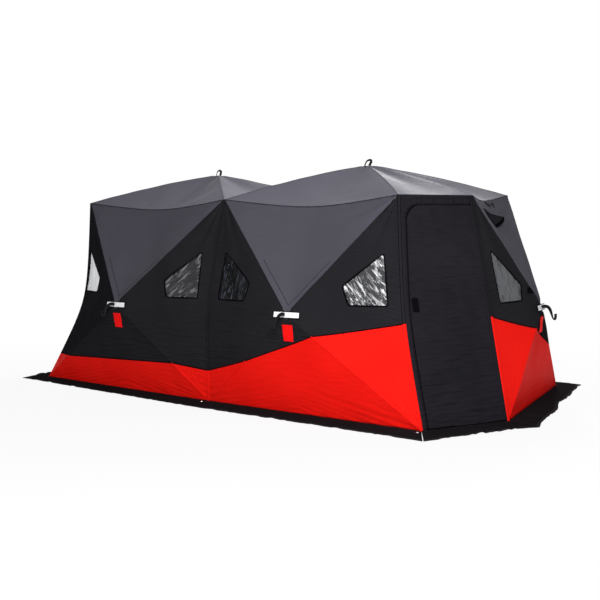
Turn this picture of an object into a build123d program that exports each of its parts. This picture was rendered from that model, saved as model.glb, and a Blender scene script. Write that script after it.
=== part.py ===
from build123d import *
import os
from collections import namedtuple
from math import cos, radians, sin, sqrt

# Pop-up ice fishing hut: two square hub tents sewn together along one middle seam.
# Every wall is a fabric pyramid that a hub pushes out on four poles, and each roof is
# a pyramid that a hub pushes up on five poles.
# X runs along the front, -Y is the front, Z is up, and the plan repeats by a half turn.

# Corner places of the front half, in plan and height
EAVE_Z = 1773
FAR_TOP_X = 1867
FAR_TOP_Y = 852
FAR_FOOT_X = 2243
FAR_FOOT_Y = 1142
MIDDLE_TOP_Y = 931
MIDDLE_TOP_DROP = 25
MIDDLE_FOOT_Y = 1178

# Door wall, set across the corner between the front and the end
DOOR_FOOT_X = 2050
DOOR_FOOT_Y = 1150
DOOR_HEADING = 59
DOOR_FOOT_WIDTH = 770
DOOR_TOP_WIDTH = 670
DOOR_TOP_INSET = 90
DOOR_LEAN = 487
DOOR_TOP_DROP = 38

# How far the corner seams are pulled in or pushed out at hub height
FAR_SEAM_PULL = 160
MIDDLE_SEAM_PUSH = 100
DOOR_SEAM_PUSH = 58

# How far the top seams sag between their corners
FRONT_EAVE_SAG = 105
END_EAVE_SAG = 70
VALLEY_SAG = 60

# Hubs
HUB_Z = 811
FRONT_HUB_PUSH = 274
END_HUB_PUSH = 255
ROOF_HUB_X = 891
ROOF_RISE = 281
CENTRE_Z = 850
HUB_RADIUS = 24
HOLE_MARGIN = 4
HUB_DEPTH = 62
PLATE_RADIUS = 34
PLATE = 4
SOCKET_RADIUS = 9
SOCKET_REACH = 120
SOCKET_FLOOR = 46

# Poles
POLE_RADIUS = 5.5
POLE_END_GAP = 75
TIP_RADIUS = 8
TIP_LENGTH = 32

# Fabric
FABRIC = 8
SEAT = 0.3
OVERRUN = 60

# Heights of the red band: shares of the seams up to hub height, then of each wall's two lower poles
FAR_BAND_SHARE = 0.31
MIDDLE_BAND_SHARE = 0.34
NEAR_BAND_SHARE = 0.95
DOOR_FAR_BAND_SHARE = 0.97
LEFT_BAY_BAND_SHARES = (0.32, 0.38)
RIGHT_BAY_BAND_SHARES = (0.49, 0.80)
END_BAND_SHARES = (0.80, 0.56)

# Windows: corners as shares of the seam's middle, the hub and the seam's top
BAY_WINDOW_SHARES = ((0.34, 0.14, 0.52), (0.25, 0.50, 0.25), (0.45, 0.455, 0.095), (0.78, 0.125, 0.095))
FAR_WINDOW_SHARES = ((0.41, 0.08, 0.51), (0.34, 0.42, 0.24), (0.55, 0.36, 0.09), (0.87, 0.04, 0.09))
END_WINDOW_SHARES = ((0.30, 0.17, 0.53), (0.12, 0.66, 0.22), (0.30, 0.62, 0.08), (0.71, 0.21, 0.08))
WINDOW_CORNER = 14
PANE = 2
PANE_SETBACK = 3

# Door
JAMB = 66
HEADER = 82
HINGE_STRIP = 28
DOOR_CORNER = 130
DOOR_CLEARANCE = 5
DOOR_SILL = 20
WELT_RADIUS = 4

# Skirt that lies on the ice
SKIRT = 4
SKIRT_WIDTH = 250
SKIRT_LAP = 14
SKIRT_SLIT = 18
SKIRT_CORNER_SHARE = 0.8

# Trim on the hubs
PATCH_WIDTH = 250
PATCH_HEIGHT = 52
PATCH = 2.5
PATCH_CORNER = 5
TAG_WIDTH = 96
TAG_HEIGHT = 128
TAG = 3
TAG_DROP = 78
STRAP_WIDTH = 24
STRAP = 5
STRAP_REACH = 76
STRAP_BEND = 32
STRAP_FALL = 118
ROOF_STRAP_HEIGHT = 64
ROOF_STRAP_SPAN = 84
ROOF_STRAP_CORNER = 24

# Vent hood high on each end wall: its corners as shares of the eave, the corner and the hub
VENT = 6
VENT_CORNER_SHARES = ((0.90, 0.02, 0.08), (0.36, 0.46, 0.18), (0.75, 0.02, 0.23))

UP = Vector(0, 0, 1)
Seam = namedtuple("Seam", "top middle foot band")
Wall = namedtuple("Wall", "name left right hub axis centre eave nose band_shares window_shares")


def half_turn(point):
    """The same place on the other half of the hut."""
    return Vector(-point.X, -point.Y, point.Z)


def part_way(start, end, share):
    """The point at a share of the way along a straight edge."""
    return start + (end - start) * share


def seam_between(foot, top, push, band_share):
    """A corner seam that bows by push at hub height, with the band's edge marked on it."""
    middle = part_way(foot, top, (HUB_Z - foot.Z) / (top.Z - foot.Z)) + push
    return Seam(top, middle, foot, part_way(foot, middle, band_share))


def turned_seam(seam):
    """A seam carried to the other half of the hut."""
    return Seam(*(half_turn(point) for point in seam))


def sagged(start, end, centre, sag):
    """The middle of a top seam, drawn towards the tent's centre."""
    along = (end - start).normalized()
    middle = (start + end) * 0.5
    inward = centre - middle
    inward = (inward - along * inward.dot(along)).normalized()
    return middle + inward * sag


def pushed_hub(left, right, push):
    """The hub of a wall: over the mean of its corners, pushed outwards."""
    mean = (left.top + right.top + left.foot + right.foot) * 0.25
    along = (right.foot - left.foot).normalized()
    place = mean + Vector(along.Y, -along.X, 0) * push
    return Vector(place.X, place.Y, HUB_Z)


def wall_axis(left, right):
    """The direction square to a wall's mean plane, pointing out."""
    return (right.foot - left.top).cross(right.top - left.foot).normalized()


def nose_point(hub, axis, nose, corner):
    """Where the edge from a hub to a corner leaves the hub's flat nose."""
    return hub + (corner - hub) * (nose / (hub - corner).dot(axis))


def facet_plane(corners, centre):
    """The plane of a facet, with its normal pointing out of the tent."""
    normal = (corners[1] - corners[0]).cross(corners[2] - corners[0]).normalized()
    if normal.dot(corners[0] - centre) < 0:
        normal = normal * -1
    return Plane(origin=corners[0], x_dir=corners[1] - corners[0], z_dir=normal)


def facet_distance(corners, centre):
    """How far a facet's plane lies from the tent's centre."""
    plane = facet_plane(corners, centre)
    return (corners[0] - centre).dot(plane.z_dir)


def drawn_in(point, centre, share):
    """A point moved towards the tent's centre by a share of its distance."""
    return point + (centre - point) * share


def rim_facets(rim, hub):
    """The facets between a hub and each edge of the rim round it."""
    return [(start, end, hub) for start, end in zip(rim, rim[1:] + rim[:1])]


def nose_depth(rim, hub, axis, centre):
    """How far under a hub's point the fabric is cut off, so that its hole clears the hub's core."""
    rises = [facet_plane(corners, centre).z_dir.dot(axis) for corners in rim_facets(rim, hub)]
    steepest = max(sqrt(1 - rise ** 2) / rise for rise in rises)
    return (HUB_RADIUS + HOLE_MARGIN) * steepest


def wall_rim(left, right, eave):
    """The seams round a wall, in order."""
    return [left.top, eave, right.top, right.middle, right.foot, left.foot, left.middle]


def hub_wall(name, left, right, push, centre, eave, band_shares, window_shares):
    """A wall between two corner seams, with its hub and the nose where the fabric ends."""
    hub = pushed_hub(left, right, push)
    axis = wall_axis(left, right)
    nose = nose_depth(wall_rim(left, right, eave), hub, axis, centre)
    return Wall(name, left, right, hub, axis, centre, eave, nose, band_shares, window_shares)


def fabric_sheet(facets, centre):
    """One sheet of fabric over flat facets, tapered so that neighbours meet in mitres."""
    share = FABRIC / min(facet_distance(corners, centre) for corners in facets)
    with BuildPart() as sheet:
        for corners in facets:
            plane = facet_plane(corners, centre)
            inner = [drawn_in(corner, centre, share) for corner in corners]
            inner_plane = Plane(origin=inner[0], x_dir=plane.x_dir, z_dir=plane.z_dir)
            for face_plane, points in ((plane, corners), (inner_plane, inner)):
                with BuildSketch(face_plane):
                    with BuildLine():
                        Polyline(*(face_plane.to_local_coords(point) for point in points), close=True)
                    make_face()
            loft(ruled=True)
    return sheet.part


def shared_point(anchors, shares):
    """The point that holds a share of each anchor."""
    return sum((anchor * share for anchor, share in zip(anchors, shares)), Vector())


def window_outline(wall, seam):
    """A window's plane and its sketch, in the upper side facet."""
    anchors = (seam.middle, wall.hub, seam.top)
    plane = facet_plane(anchors, wall.centre)
    shares_by_side = wall.window_shares[0 if seam is wall.left else 1]
    corners = [plane.to_local_coords(shared_point(anchors, shares)) for shares in shares_by_side]
    with BuildSketch() as outline:
        with BuildLine():
            Polyline(*((corner.X, corner.Y) for corner in corners), close=True)
        make_face()
        fillet(outline.vertices(), WINDOW_CORNER)
    return plane, outline.sketch


def side_facets(wall, seam):
    """The black facets between a corner seam and the hub, down to the red band."""
    def nose(corner):
        return nose_point(wall.hub, wall.axis, wall.nose, corner)

    band_end = part_way(seam.foot, wall.hub, wall.band_shares[0 if seam is wall.left else 1])
    return [
        (seam.middle, nose(seam.middle), nose(seam.top), seam.top),
        (seam.middle, nose(seam.middle), nose(seam.foot), band_end, seam.band),
    ]


def upper_panel(wall):
    """The grey panel from the top seam down to the hub."""
    def nose(corner):
        return nose_point(wall.hub, wall.axis, wall.nose, corner)

    return fabric_sheet([
        (wall.left.top, wall.eave, nose(wall.eave), nose(wall.left.top)),
        (wall.eave, wall.right.top, nose(wall.right.top), nose(wall.eave)),
    ], wall.centre)


def side_panels(wall):
    """The black panels left and right of the hub, each with its window cut through."""
    with BuildPart() as panels:
        for seam in (wall.left, wall.right):
            add(fabric_sheet(side_facets(wall, seam), wall.centre))
        for seam in (wall.left, wall.right):
            plane, outline = window_outline(wall, seam)
            with BuildSketch(plane):
                add(outline)
            extrude(amount=OVERRUN, both=True, mode=Mode.SUBTRACT)
    return panels.part


def lower_panel(wall):
    """The black panel under the hub, down to the red band."""
    left_end = part_way(wall.left.foot, wall.hub, wall.band_shares[0])
    right_end = part_way(wall.right.foot, wall.hub, wall.band_shares[1])
    return fabric_sheet([(
        nose_point(wall.hub, wall.axis, wall.nose, wall.left.foot),
        left_end,
        right_end,
        nose_point(wall.hub, wall.axis, wall.nose, wall.right.foot),
    )], wall.centre)


def red_band(wall):
    """The red band along the foot of a wall."""
    left_end = part_way(wall.left.foot, wall.hub, wall.band_shares[0])
    right_end = part_way(wall.right.foot, wall.hub, wall.band_shares[1])
    return fabric_sheet([
        (wall.left.band, wall.left.foot, left_end),
        (left_end, wall.left.foot, wall.right.foot, right_end),
        (wall.right.band, wall.right.foot, right_end),
    ], wall.centre)


def roof(hub, centre, rim, nose):
    """A roof of five gores from its hub to the top seams."""
    return fabric_sheet([
        (start, end, nose_point(hub, UP, nose, end), nose_point(hub, UP, nose, start))
        for start, end in zip(rim, rim[1:] + rim[:1])
    ], centre)


def pole_line(hub, centre, corner, share):
    """The start and the end of a pole's axis, set inside the fold that it stretches."""
    along = (corner - hub).normalized()
    start = drawn_in(hub + along * SOCKET_FLOOR, centre, share)
    end = drawn_in(corner - along * POLE_END_GAP, centre, share)
    return start, end


def pole_share(rim, hub, axis, centre, nose):
    """How far the poles are drawn in, so that their sockets clear the fabric and the hub's plate."""
    nearest = min(facet_distance(corners, centre) for corners in rim_facets(rim, hub))
    under_fabric = (FABRIC + SOCKET_RADIUS + SEAT) / nearest
    under_plate = (nose + SOCKET_RADIUS) / (hub - centre).dot(axis)
    return max(under_fabric, under_plate)


def hub_casting(hub, axis, centre, nose, corners, share):
    """A hub: a core through the fabric's nose, a plate outside, and a socket for each pole."""
    nose_face = Plane(origin=hub - axis * nose, z_dir=axis).offset(SEAT)
    with BuildPart() as casting:
        with BuildSketch(nose_face):
            Circle(PLATE_RADIUS)
        extrude(amount=PLATE)
        with BuildSketch(nose_face):
            Circle(HUB_RADIUS)
        extrude(amount=-HUB_DEPTH)
        lines = [pole_line(hub, centre, corner, share) for corner in corners]
        for start, end in lines:
            along = (end - start).normalized()
            with BuildSketch(Plane(origin=start - along * SOCKET_FLOOR, z_dir=along)):
                Circle(SOCKET_RADIUS)
            extrude(amount=SOCKET_REACH)
        for start, end in lines:
            with BuildSketch(Plane(origin=start, z_dir=end - start)):
                Circle(POLE_RADIUS + SEAT)
            extrude(amount=SOCKET_REACH, mode=Mode.SUBTRACT)
    return casting.part


def pole(start, end):
    """A round pole with a thicker tip at its outer end."""
    along = (end - start).normalized()
    with BuildPart() as rod:
        with BuildSketch(Plane(origin=start, z_dir=along)):
            Circle(POLE_RADIUS)
        extrude(amount=(end - start).length)
        with BuildSketch(Plane(origin=end, z_dir=-along)):
            Circle(TIP_RADIUS)
        extrude(amount=TIP_LENGTH)
    return rod.part


def gathered(parts):
    """Pieces of one kind together, as separate solids."""
    with BuildPart() as group:
        for piece in parts:
            add(piece)
    return group.part


def keep_piece(piece, name):
    """Label a finished piece and write it."""
    piece.label = name
    export_step(piece, f"parts/{name}.step")


# Corner seams of the front half, then the same seams on the back half
ground = SKIRT + SEAT
heading = Vector(cos(radians(DOOR_HEADING)), sin(radians(DOOR_HEADING)), 0)
outward = Vector(heading.Y, -heading.X, 0)
door_foot = Vector(DOOR_FOOT_X, -DOOR_FOOT_Y, ground)
door_rise = Vector(0, 0, EAVE_Z - DOOR_TOP_DROP - ground) - outward * DOOR_LEAN
door_top = door_foot + door_rise + heading * DOOR_TOP_INSET

far_foot = Vector(FAR_FOOT_X, FAR_FOOT_Y, ground)
far_top = Vector(FAR_TOP_X, FAR_TOP_Y, EAVE_Z)
middle_foot = Vector(0, -MIDDLE_FOOT_Y, ground)
middle_top = Vector(0, -MIDDLE_TOP_Y, EAVE_Z - MIDDLE_TOP_DROP)
far_inward = Vector(-far_foot.X + ROOF_HUB_X, -far_foot.Y, 0).normalized()

middle_seam = seam_between(middle_foot, middle_top, Vector(0, -MIDDLE_SEAM_PUSH, 0), MIDDLE_BAND_SHARE)
near_seam = seam_between(door_foot, door_top, heading * -DOOR_SEAM_PUSH, NEAR_BAND_SHARE)
door_far_seam = seam_between(door_foot + heading * DOOR_FOOT_WIDTH, door_top + heading * DOOR_TOP_WIDTH,
                             Vector(0, 0, 0), DOOR_FAR_BAND_SHARE)
far_seam = seam_between(far_foot, far_top, far_inward * FAR_SEAM_PULL, FAR_BAND_SHARE)
back_middle_seam = turned_seam(middle_seam)

# The right tent, from the middle seam round by the door to the back
right_centre = Vector(ROOF_HUB_X, 0, CENTRE_Z)
right_roof_hub = Vector(ROOF_HUB_X, 0, EAVE_Z + ROOF_RISE)
right_seams = [middle_seam, near_seam, door_far_seam, far_seam, back_middle_seam]
right_sags = [FRONT_EAVE_SAG, 0, END_EAVE_SAG, FRONT_EAVE_SAG, VALLEY_SAG]
right_corners = [seam.top for seam in right_seams]
right_eaves = [
    sagged(corner, right_corners[(index + 1) % len(right_corners)], right_centre, sag)
    for index, (corner, sag) in enumerate(zip(right_corners, right_sags))
]
right_rim = [point for pair in zip(right_corners, right_eaves) for point in pair]
right_walls = [
    hub_wall("front_right", middle_seam, near_seam, FRONT_HUB_PUSH, right_centre, right_eaves[0],
             RIGHT_BAY_BAND_SHARES, (BAY_WINDOW_SHARES, BAY_WINDOW_SHARES)),
    hub_wall("right_end", door_far_seam, far_seam, END_HUB_PUSH, right_centre, right_eaves[2],
             END_BAND_SHARES, (END_WINDOW_SHARES, END_WINDOW_SHARES)),
    hub_wall("back_right", far_seam, back_middle_seam, FRONT_HUB_PUSH, right_centre, right_eaves[3],
             LEFT_BAY_BAND_SHARES, (FAR_WINDOW_SHARES, BAY_WINDOW_SHARES)),
]


def turned_wall(wall, name):
    """A wall carried to the other half of the hut."""
    return Wall(name, turned_seam(wall.left), turned_seam(wall.right), half_turn(wall.hub),
                half_turn(wall.axis), half_turn(wall.centre), half_turn(wall.eave), wall.nose,
                wall.band_shares, wall.window_shares)


left_names = {"front_right": "back_left", "right_end": "left_end", "back_right": "front_left"}
left_walls = [turned_wall(wall, left_names[wall.name]) for wall in right_walls]
walls = right_walls + left_walls

os.makedirs("parts", exist_ok=True)

# Wall panels
for wall in walls:
    keep_piece(upper_panel(wall), f"{wall.name}_upper_panel")
    keep_piece(side_panels(wall), f"{wall.name}_side_panels")
    keep_piece(red_band(wall), f"{wall.name}_red_band")
keep_piece(gathered([lower_panel(wall) for wall in walls]), "lower_panels")

# Roofs
roof_nose = nose_depth(right_rim, right_roof_hub, UP, right_centre)
keep_piece(roof(right_roof_hub, right_centre, right_rim, roof_nose), "right_roof")
keep_piece(roof(half_turn(right_roof_hub), half_turn(right_centre),
                [half_turn(point) for point in right_rim], roof_nose), "left_roof")

# Seam tape inside the middle seam, between the two tents
tape_points = [middle_seam.foot, middle_seam.middle, middle_seam.top, right_eaves[4],
               back_middle_seam.top, back_middle_seam.middle, back_middle_seam.foot]
tape_share = FABRIC / right_centre.X
with BuildPart() as centre_seam_tape:
    for start, end in zip(tape_points, tape_points[1:]):
        for point in (start, end):
            corners = [point, drawn_in(point, right_centre, tape_share),
                       drawn_in(point, half_turn(right_centre), tape_share)]
            tape_plane = Plane(origin=point, x_dir=Vector(1, 0, 0),
                               z_dir=(corners[1] - point).cross(corners[2] - point))
            with BuildSketch(tape_plane):
                with BuildLine():
                    Polyline(*(tape_plane.to_local_coords(corner) for corner in corners), close=True)
                make_face()
        loft(ruled=True)
keep_piece(centre_seam_tape.part, "centre_seam_tape")

# Window panes
with BuildPart() as window_panes:
    for wall in walls:
        for seam in (wall.left, wall.right):
            plane, outline = window_outline(wall, seam)
            with BuildSketch(plane.offset(-PANE_SETBACK)):
                add(outline)
                offset(amount=-SEAT, mode=Mode.REPLACE)
            extrude(amount=-PANE)
keep_piece(window_panes.part, "window_panes")

# Hubs and poles
hubs = []
poles = {"front_poles": [], "end_poles": [], "back_poles": []}
for wall in walls:
    wall_corners = [wall.left.top, wall.right.top, wall.left.foot, wall.right.foot]
    rim = wall_rim(wall.left, wall.right, wall.eave)
    share = pole_share(rim, wall.hub, wall.axis, wall.centre, wall.nose)
    hubs.append(hub_casting(wall.hub, wall.axis, wall.centre, wall.nose, wall_corners, share))
    side = "end" if "end" in wall.name else wall.name.split("_")[0]
    poles[f"{side}_poles"] += [pole(*pole_line(wall.hub, wall.centre, corner, share))
                               for corner in wall_corners]
keep_piece(gathered(hubs), "wall_hubs")
for name, rods in poles.items():
    keep_piece(gathered(rods), name)

roof_share = pole_share(right_rim, right_roof_hub, UP, right_centre, roof_nose)
right_roof_casting = hub_casting(right_roof_hub, UP, right_centre, roof_nose, right_corners, roof_share)
right_roof_poles = [pole(*pole_line(right_roof_hub, right_centre, corner, roof_share))
                    for corner in right_corners]
with BuildPart() as roof_hubs:
    with PolarLocations(0, 2):
        add(right_roof_casting)
keep_piece(roof_hubs.part, "roof_hubs")
with BuildPart() as roof_poles:
    for rod in right_roof_poles:
        with PolarLocations(0, 2):
            add(rod)
keep_piece(roof_poles.part, "roof_poles")

# Door wall, in its own plane: X from the near seam to the hinge side, Y up the slope
door_corners = (near_seam.foot, door_far_seam.foot, door_far_seam.top, near_seam.top, near_seam.middle)
door_plane = facet_plane(door_corners, right_centre)
near_foot, hinge_foot, hinge_top, near_top, near_middle = (
    door_plane.to_local_coords(corner) for corner in door_corners)
door_blank = fabric_sheet([door_corners], right_centre)
hinge_along = (hinge_top - hinge_foot).normalized()
hinge_across = Vector(-hinge_along.Y, hinge_along.X, 0)
hinge_low = hinge_foot + hinge_across * HINGE_STRIP
flap_edge = hinge_foot + hinge_across * (HINGE_STRIP + WELT_RADIUS + SEAT)
slope_top = near_top.Y - HEADER
jamb_shift = Vector(JAMB, 0, 0)


def on_hinge_line(start, height):
    """A point on a line along the hinge, at one height up the door's slope."""
    return start + hinge_along * ((height - start.Y) / hinge_along.Y)


def on_jamb_line(lower, upper, height):
    """A point beside the near seam, at one height up the door's slope."""
    return lower + (upper - lower) * ((height - lower.Y) / (upper.Y - lower.Y)) + jamb_shift


with BuildSketch() as flap_outline:
    with BuildLine():
        Polyline(
            on_jamb_line(near_foot, near_middle, DOOR_SILL),
            on_hinge_line(flap_edge, DOOR_SILL),
            on_hinge_line(flap_edge, slope_top),
            on_jamb_line(near_middle, near_top, slope_top),
            near_middle + jamb_shift,
            close=True,
        )
    make_face()
    fillet(flap_outline.vertices().group_by(Axis.Y)[-1].sort_by(Axis.X)[0], DOOR_CORNER)

with BuildPart() as door_flap:
    with BuildSketch(door_plane):
        add(flap_outline.sketch)
    extrude(amount=-FABRIC)
keep_piece(door_flap.part, "door_flap")

with BuildSketch() as doorway:
    with BuildLine():
        Polyline(
            on_jamb_line(near_foot, near_middle, -OVERRUN) - Vector(DOOR_CLEARANCE, 0, 0),
            on_hinge_line(hinge_low, -OVERRUN),
            on_hinge_line(hinge_low, slope_top + DOOR_CLEARANCE),
            on_jamb_line(near_middle, near_top, slope_top + DOOR_CLEARANCE) - Vector(DOOR_CLEARANCE, 0, 0),
            near_middle + jamb_shift - Vector(DOOR_CLEARANCE, 0, 0),
            close=True,
        )
    make_face()
    fillet(doorway.vertices().group_by(Axis.Y)[-1].sort_by(Axis.X)[0], DOOR_CORNER + DOOR_CLEARANCE)

with BuildPart() as door_surround:
    add(door_blank)
    with BuildSketch(door_plane):
        add(doorway.sketch)
    extrude(amount=OVERRUN, both=True, mode=Mode.SUBTRACT)

hinge_cut = Plane(origin=door_plane.from_local_coords(hinge_low),
                  z_dir=door_plane.from_local_coords(hinge_low + hinge_across)
                  - door_plane.from_local_coords(hinge_low))
corner_cut = Plane(origin=door_plane.from_local_coords(Vector(0, slope_top - DOOR_CORNER, 0)),
                   z_dir=door_plane.y_dir)

with BuildPart() as hinge_jamb:
    add(door_surround.part)
    split(bisect_by=hinge_cut, keep=Keep.BOTTOM)
    welt_start = door_plane.from_local_coords(on_hinge_line(hinge_low, DOOR_SILL))
    welt_end = door_plane.from_local_coords(on_hinge_line(hinge_low, slope_top))
    with BuildSketch(Plane(origin=welt_start, z_dir=welt_end - welt_start)):
        Circle(WELT_RADIUS)
    extrude(amount=(welt_end - welt_start).length)
keep_piece(hinge_jamb.part, "door_hinge_jamb")

with BuildPart() as near_jamb:
    add(door_surround.part)
    split(bisect_by=hinge_cut, keep=Keep.TOP)
    split(bisect_by=corner_cut, keep=Keep.BOTTOM)
keep_piece(near_jamb.part, "door_zip_jamb")

with BuildPart() as header:
    add(door_surround.part)
    split(bisect_by=hinge_cut, keep=Keep.TOP)
    split(bisect_by=corner_cut, keep=Keep.TOP)
keep_piece(header.part, "door_header")

# The same door on the back, zipped shut
with BuildPart() as rear_door_surround:
    with PolarLocations(0, 2):
        add(door_surround.part)
    split(bisect_by=Plane.YZ, keep=Keep.BOTTOM)
keep_piece(rear_door_surround.part, "rear_door_surround")
with BuildPart() as closed_flap:
    with BuildSketch(door_plane):
        add(doorway.sketch)
        offset(amount=-SEAT, mode=Mode.REPLACE)
        split(bisect_by=Plane.XZ.offset(-DOOR_SILL), keep=Keep.BOTTOM)
    extrude(amount=-FABRIC)
with BuildPart() as rear_door_flap:
    with PolarLocations(0, 2):
        add(closed_flap.part)
    split(bisect_by=Plane.YZ, keep=Keep.BOTTOM)
keep_piece(rear_door_flap.part, "rear_door_flap")

# Skirt on the ice: sections round the foot of the walls, mitred at the corners and slit beside the doors
half_feet = [half_turn(far_foot), middle_seam.foot, near_seam.foot, door_far_seam.foot]
feet = half_feet + [half_turn(foot) for foot in half_feet]
reaches = [SKIRT_CORNER_SHARE, 1, 1, 1] * 2


def edge_along(index):
    """The direction of the foot line that leaves one corner."""
    return (feet[(index + 1) % len(feet)] - feet[index % len(feet)]).normalized()


def foot_mitre(index):
    """The mitre at a foot corner, one unit out from both of its foot lines."""
    normals = [Vector(along.Y, -along.X, 0) for along in (edge_along(index - 1), edge_along(index))]
    return (normals[0] + normals[1]) * (1 / (1 + normals[0].dot(normals[1])))


def skirt_section(first, last):
    """One section of skirt from a foot corner to a later one."""
    indices = list(range(first, last + 1))
    inner = [feet[index % len(feet)] - foot_mitre(index) * SKIRT_LAP for index in indices]
    outer = [feet[index % len(feet)] + foot_mitre(index) * (SKIRT_WIDTH * reaches[index % len(feet)])
             for index in indices]
    for points, gap in ((inner, SEAT), (outer, SKIRT_SLIT / 2)):
        points[0] += edge_along(first) * gap
        points[-1] -= edge_along(last - 1) * gap
    with BuildPart() as section:
        with BuildSketch():
            with BuildLine():
                Polyline(*((point.X, point.Y) for point in inner + outer[::-1]), close=True)
            make_face()
        extrude(amount=SKIRT)
    return section.part


for name, spans in (("front_skirt", ((0, 2),)), ("right_skirt", ((2, 3), (3, 4))),
                    ("back_skirt", ((4, 6),)), ("left_skirt", ((6, 7), (7, 8)))):
    keep_piece(gathered([skirt_section(*span) for span in spans]), name)

# Trim on each wall hub: a bright patch over the plate, a red tag under it and a pull strap
patches = []
tags = []
straps = []
for wall in walls:
    along = (wall.right.foot - wall.left.foot).normalized()
    along = (along - wall.axis * along.dot(wall.axis)).normalized()
    plate_face = Plane(origin=wall.hub - wall.axis * wall.nose, x_dir=along,
                       z_dir=wall.axis).offset(SEAT + PLATE)
    with BuildPart() as patch:
        with BuildSketch(plate_face):
            RectangleRounded(PATCH_WIDTH, PATCH_HEIGHT, PATCH_CORNER)
        extrude(amount=PATCH)
    patches.append(patch.part)

    lower = facet_plane((wall.left.foot, wall.right.foot, wall.hub), wall.centre)
    across = (wall.right.foot - wall.left.foot).normalized()
    tag_plane = Plane(origin=wall.hub, x_dir=across, z_dir=lower.z_dir).offset(SEAT)
    with BuildPart() as tag:
        with BuildSketch(tag_plane):
            with Locations((0, -TAG_DROP)):
                Rectangle(TAG_WIDTH, TAG_HEIGHT, align=(Align.CENTER, Align.MAX))
        extrude(amount=TAG)
    tags.append(tag.part)

    patch_face = plate_face.offset(PATCH + SEAT)
    strap_plane = Plane(origin=patch_face.origin, x_dir=wall.axis, z_dir=-along)
    with BuildPart() as strap:
        with BuildSketch(strap_plane):
            with BuildLine() as strap_line:
                FilletPolyline((0, 0), (STRAP_REACH, 0), (STRAP_REACH, -STRAP_FALL), radius=STRAP_BEND)
                offset(amount=STRAP / 2, side=Side.BOTH)
            make_face()
            split(bisect_by=Plane.YZ, keep=Keep.TOP)
        extrude(amount=STRAP_WIDTH / 2, both=True)
    straps.append(strap.part)
keep_piece(gathered(patches), "hub_patches")
keep_piece(gathered(tags), "pull_tags")
keep_piece(gathered(straps), "pull_straps")

# Webbing loop that stands on each roof hub
loop_foot = right_roof_hub.Z - roof_nose + SEAT + PLATE + SEAT
with BuildPart() as roof_straps:
    for side in (-1, 1):
        with BuildSketch(Plane.XZ):
            with Locations((side * ROOF_HUB_X, loop_foot + ROOF_STRAP_HEIGHT / 2)):
                RectangleRounded(ROOF_STRAP_SPAN, ROOF_STRAP_HEIGHT, ROOF_STRAP_CORNER)
                RectangleRounded(ROOF_STRAP_SPAN - 2 * STRAP, ROOF_STRAP_HEIGHT - 2 * STRAP,
                                 ROOF_STRAP_CORNER - STRAP, mode=Mode.SUBTRACT)
        extrude(amount=STRAP_WIDTH / 2, both=True)
keep_piece(roof_straps.part, "roof_straps")

# Vent hoods on the end walls
with BuildPart() as end_vents:
    for wall in walls:
        if wall.name in ("right_end", "left_end"):
            anchors = (wall.eave, wall.right.top, wall.hub)
            vent_plane = facet_plane(anchors, wall.centre).offset(SEAT)
            corners = [shared_point(anchors, shares) for shares in VENT_CORNER_SHARES]
            with BuildSketch(vent_plane):
                with BuildLine():
                    Polyline(*((local.X, local.Y) for local in map(vent_plane.to_local_coords, corners)),
                             close=True)
                make_face()
            extrude(amount=VENT)
keep_piece(end_vents.part, "end_vents")
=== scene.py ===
"""Dresses a pop-up ice fishing hut: cloth over hubs and poles, vinyl windows, trim and a pale studio."""

import logging
from dataclasses import dataclass
from enum import Enum

import bmesh
import bpy
import numpy as np
from mathutils import Matrix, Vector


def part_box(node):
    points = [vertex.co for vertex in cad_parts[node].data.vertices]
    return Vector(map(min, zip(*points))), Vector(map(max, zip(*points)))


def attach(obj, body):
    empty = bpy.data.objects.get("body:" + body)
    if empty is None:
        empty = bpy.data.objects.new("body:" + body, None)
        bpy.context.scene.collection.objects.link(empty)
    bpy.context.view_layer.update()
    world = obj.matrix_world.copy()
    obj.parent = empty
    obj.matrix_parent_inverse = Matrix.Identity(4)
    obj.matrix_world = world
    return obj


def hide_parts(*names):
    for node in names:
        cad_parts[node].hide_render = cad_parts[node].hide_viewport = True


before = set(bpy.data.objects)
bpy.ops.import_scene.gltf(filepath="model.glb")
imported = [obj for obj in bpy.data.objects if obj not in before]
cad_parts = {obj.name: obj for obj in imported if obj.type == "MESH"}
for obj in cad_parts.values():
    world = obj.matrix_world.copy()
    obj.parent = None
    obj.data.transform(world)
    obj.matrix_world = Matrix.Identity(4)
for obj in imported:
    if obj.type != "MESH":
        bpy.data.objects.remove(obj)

LOG = logging.getLogger("hut")
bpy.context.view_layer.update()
Array = np.ndarray
UP = np.array((0.0, 0.0, 1.0))
HALF_TURN = np.array((-1.0, -1.0, 1.0))
SEAM_SOFTNESS = 0.30
EAVE_SOFTNESS = 0.45
NOSE_SHARE = 0.02
MERGE = 0.00005
ROUNDING_POWER = 22
PLATE_SOFTNESS = 0.002


class Body(Enum):
    """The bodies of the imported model."""

    SHELTER = "shelter"
    DOOR = "door"


class Held(Enum):
    """How a sheet of cloth is held."""

    STRETCHED = "stretched"
    HUNG = "hung"
    LAID = "laid"


def unit(vector: Array) -> Array:
    """Gives vectors along the last axis the length one."""
    return vector / np.linalg.norm(vector, axis=-1, keepdims=True)


def smooth_step(low: float, high: float, value: Array) -> Array:
    """Rises from nought at low to one at high, with level ends."""
    share = np.clip((value - low) / (high - low), 0.0, 1.0)
    return share * share * (3.0 - 2.0 * share)


def mixed(start: Array, end: Array, share: Array) -> Array:
    """Goes straight from start to end as the share goes from nought to one."""
    return start + (end - start) * np.asarray(share)[..., None]


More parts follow.
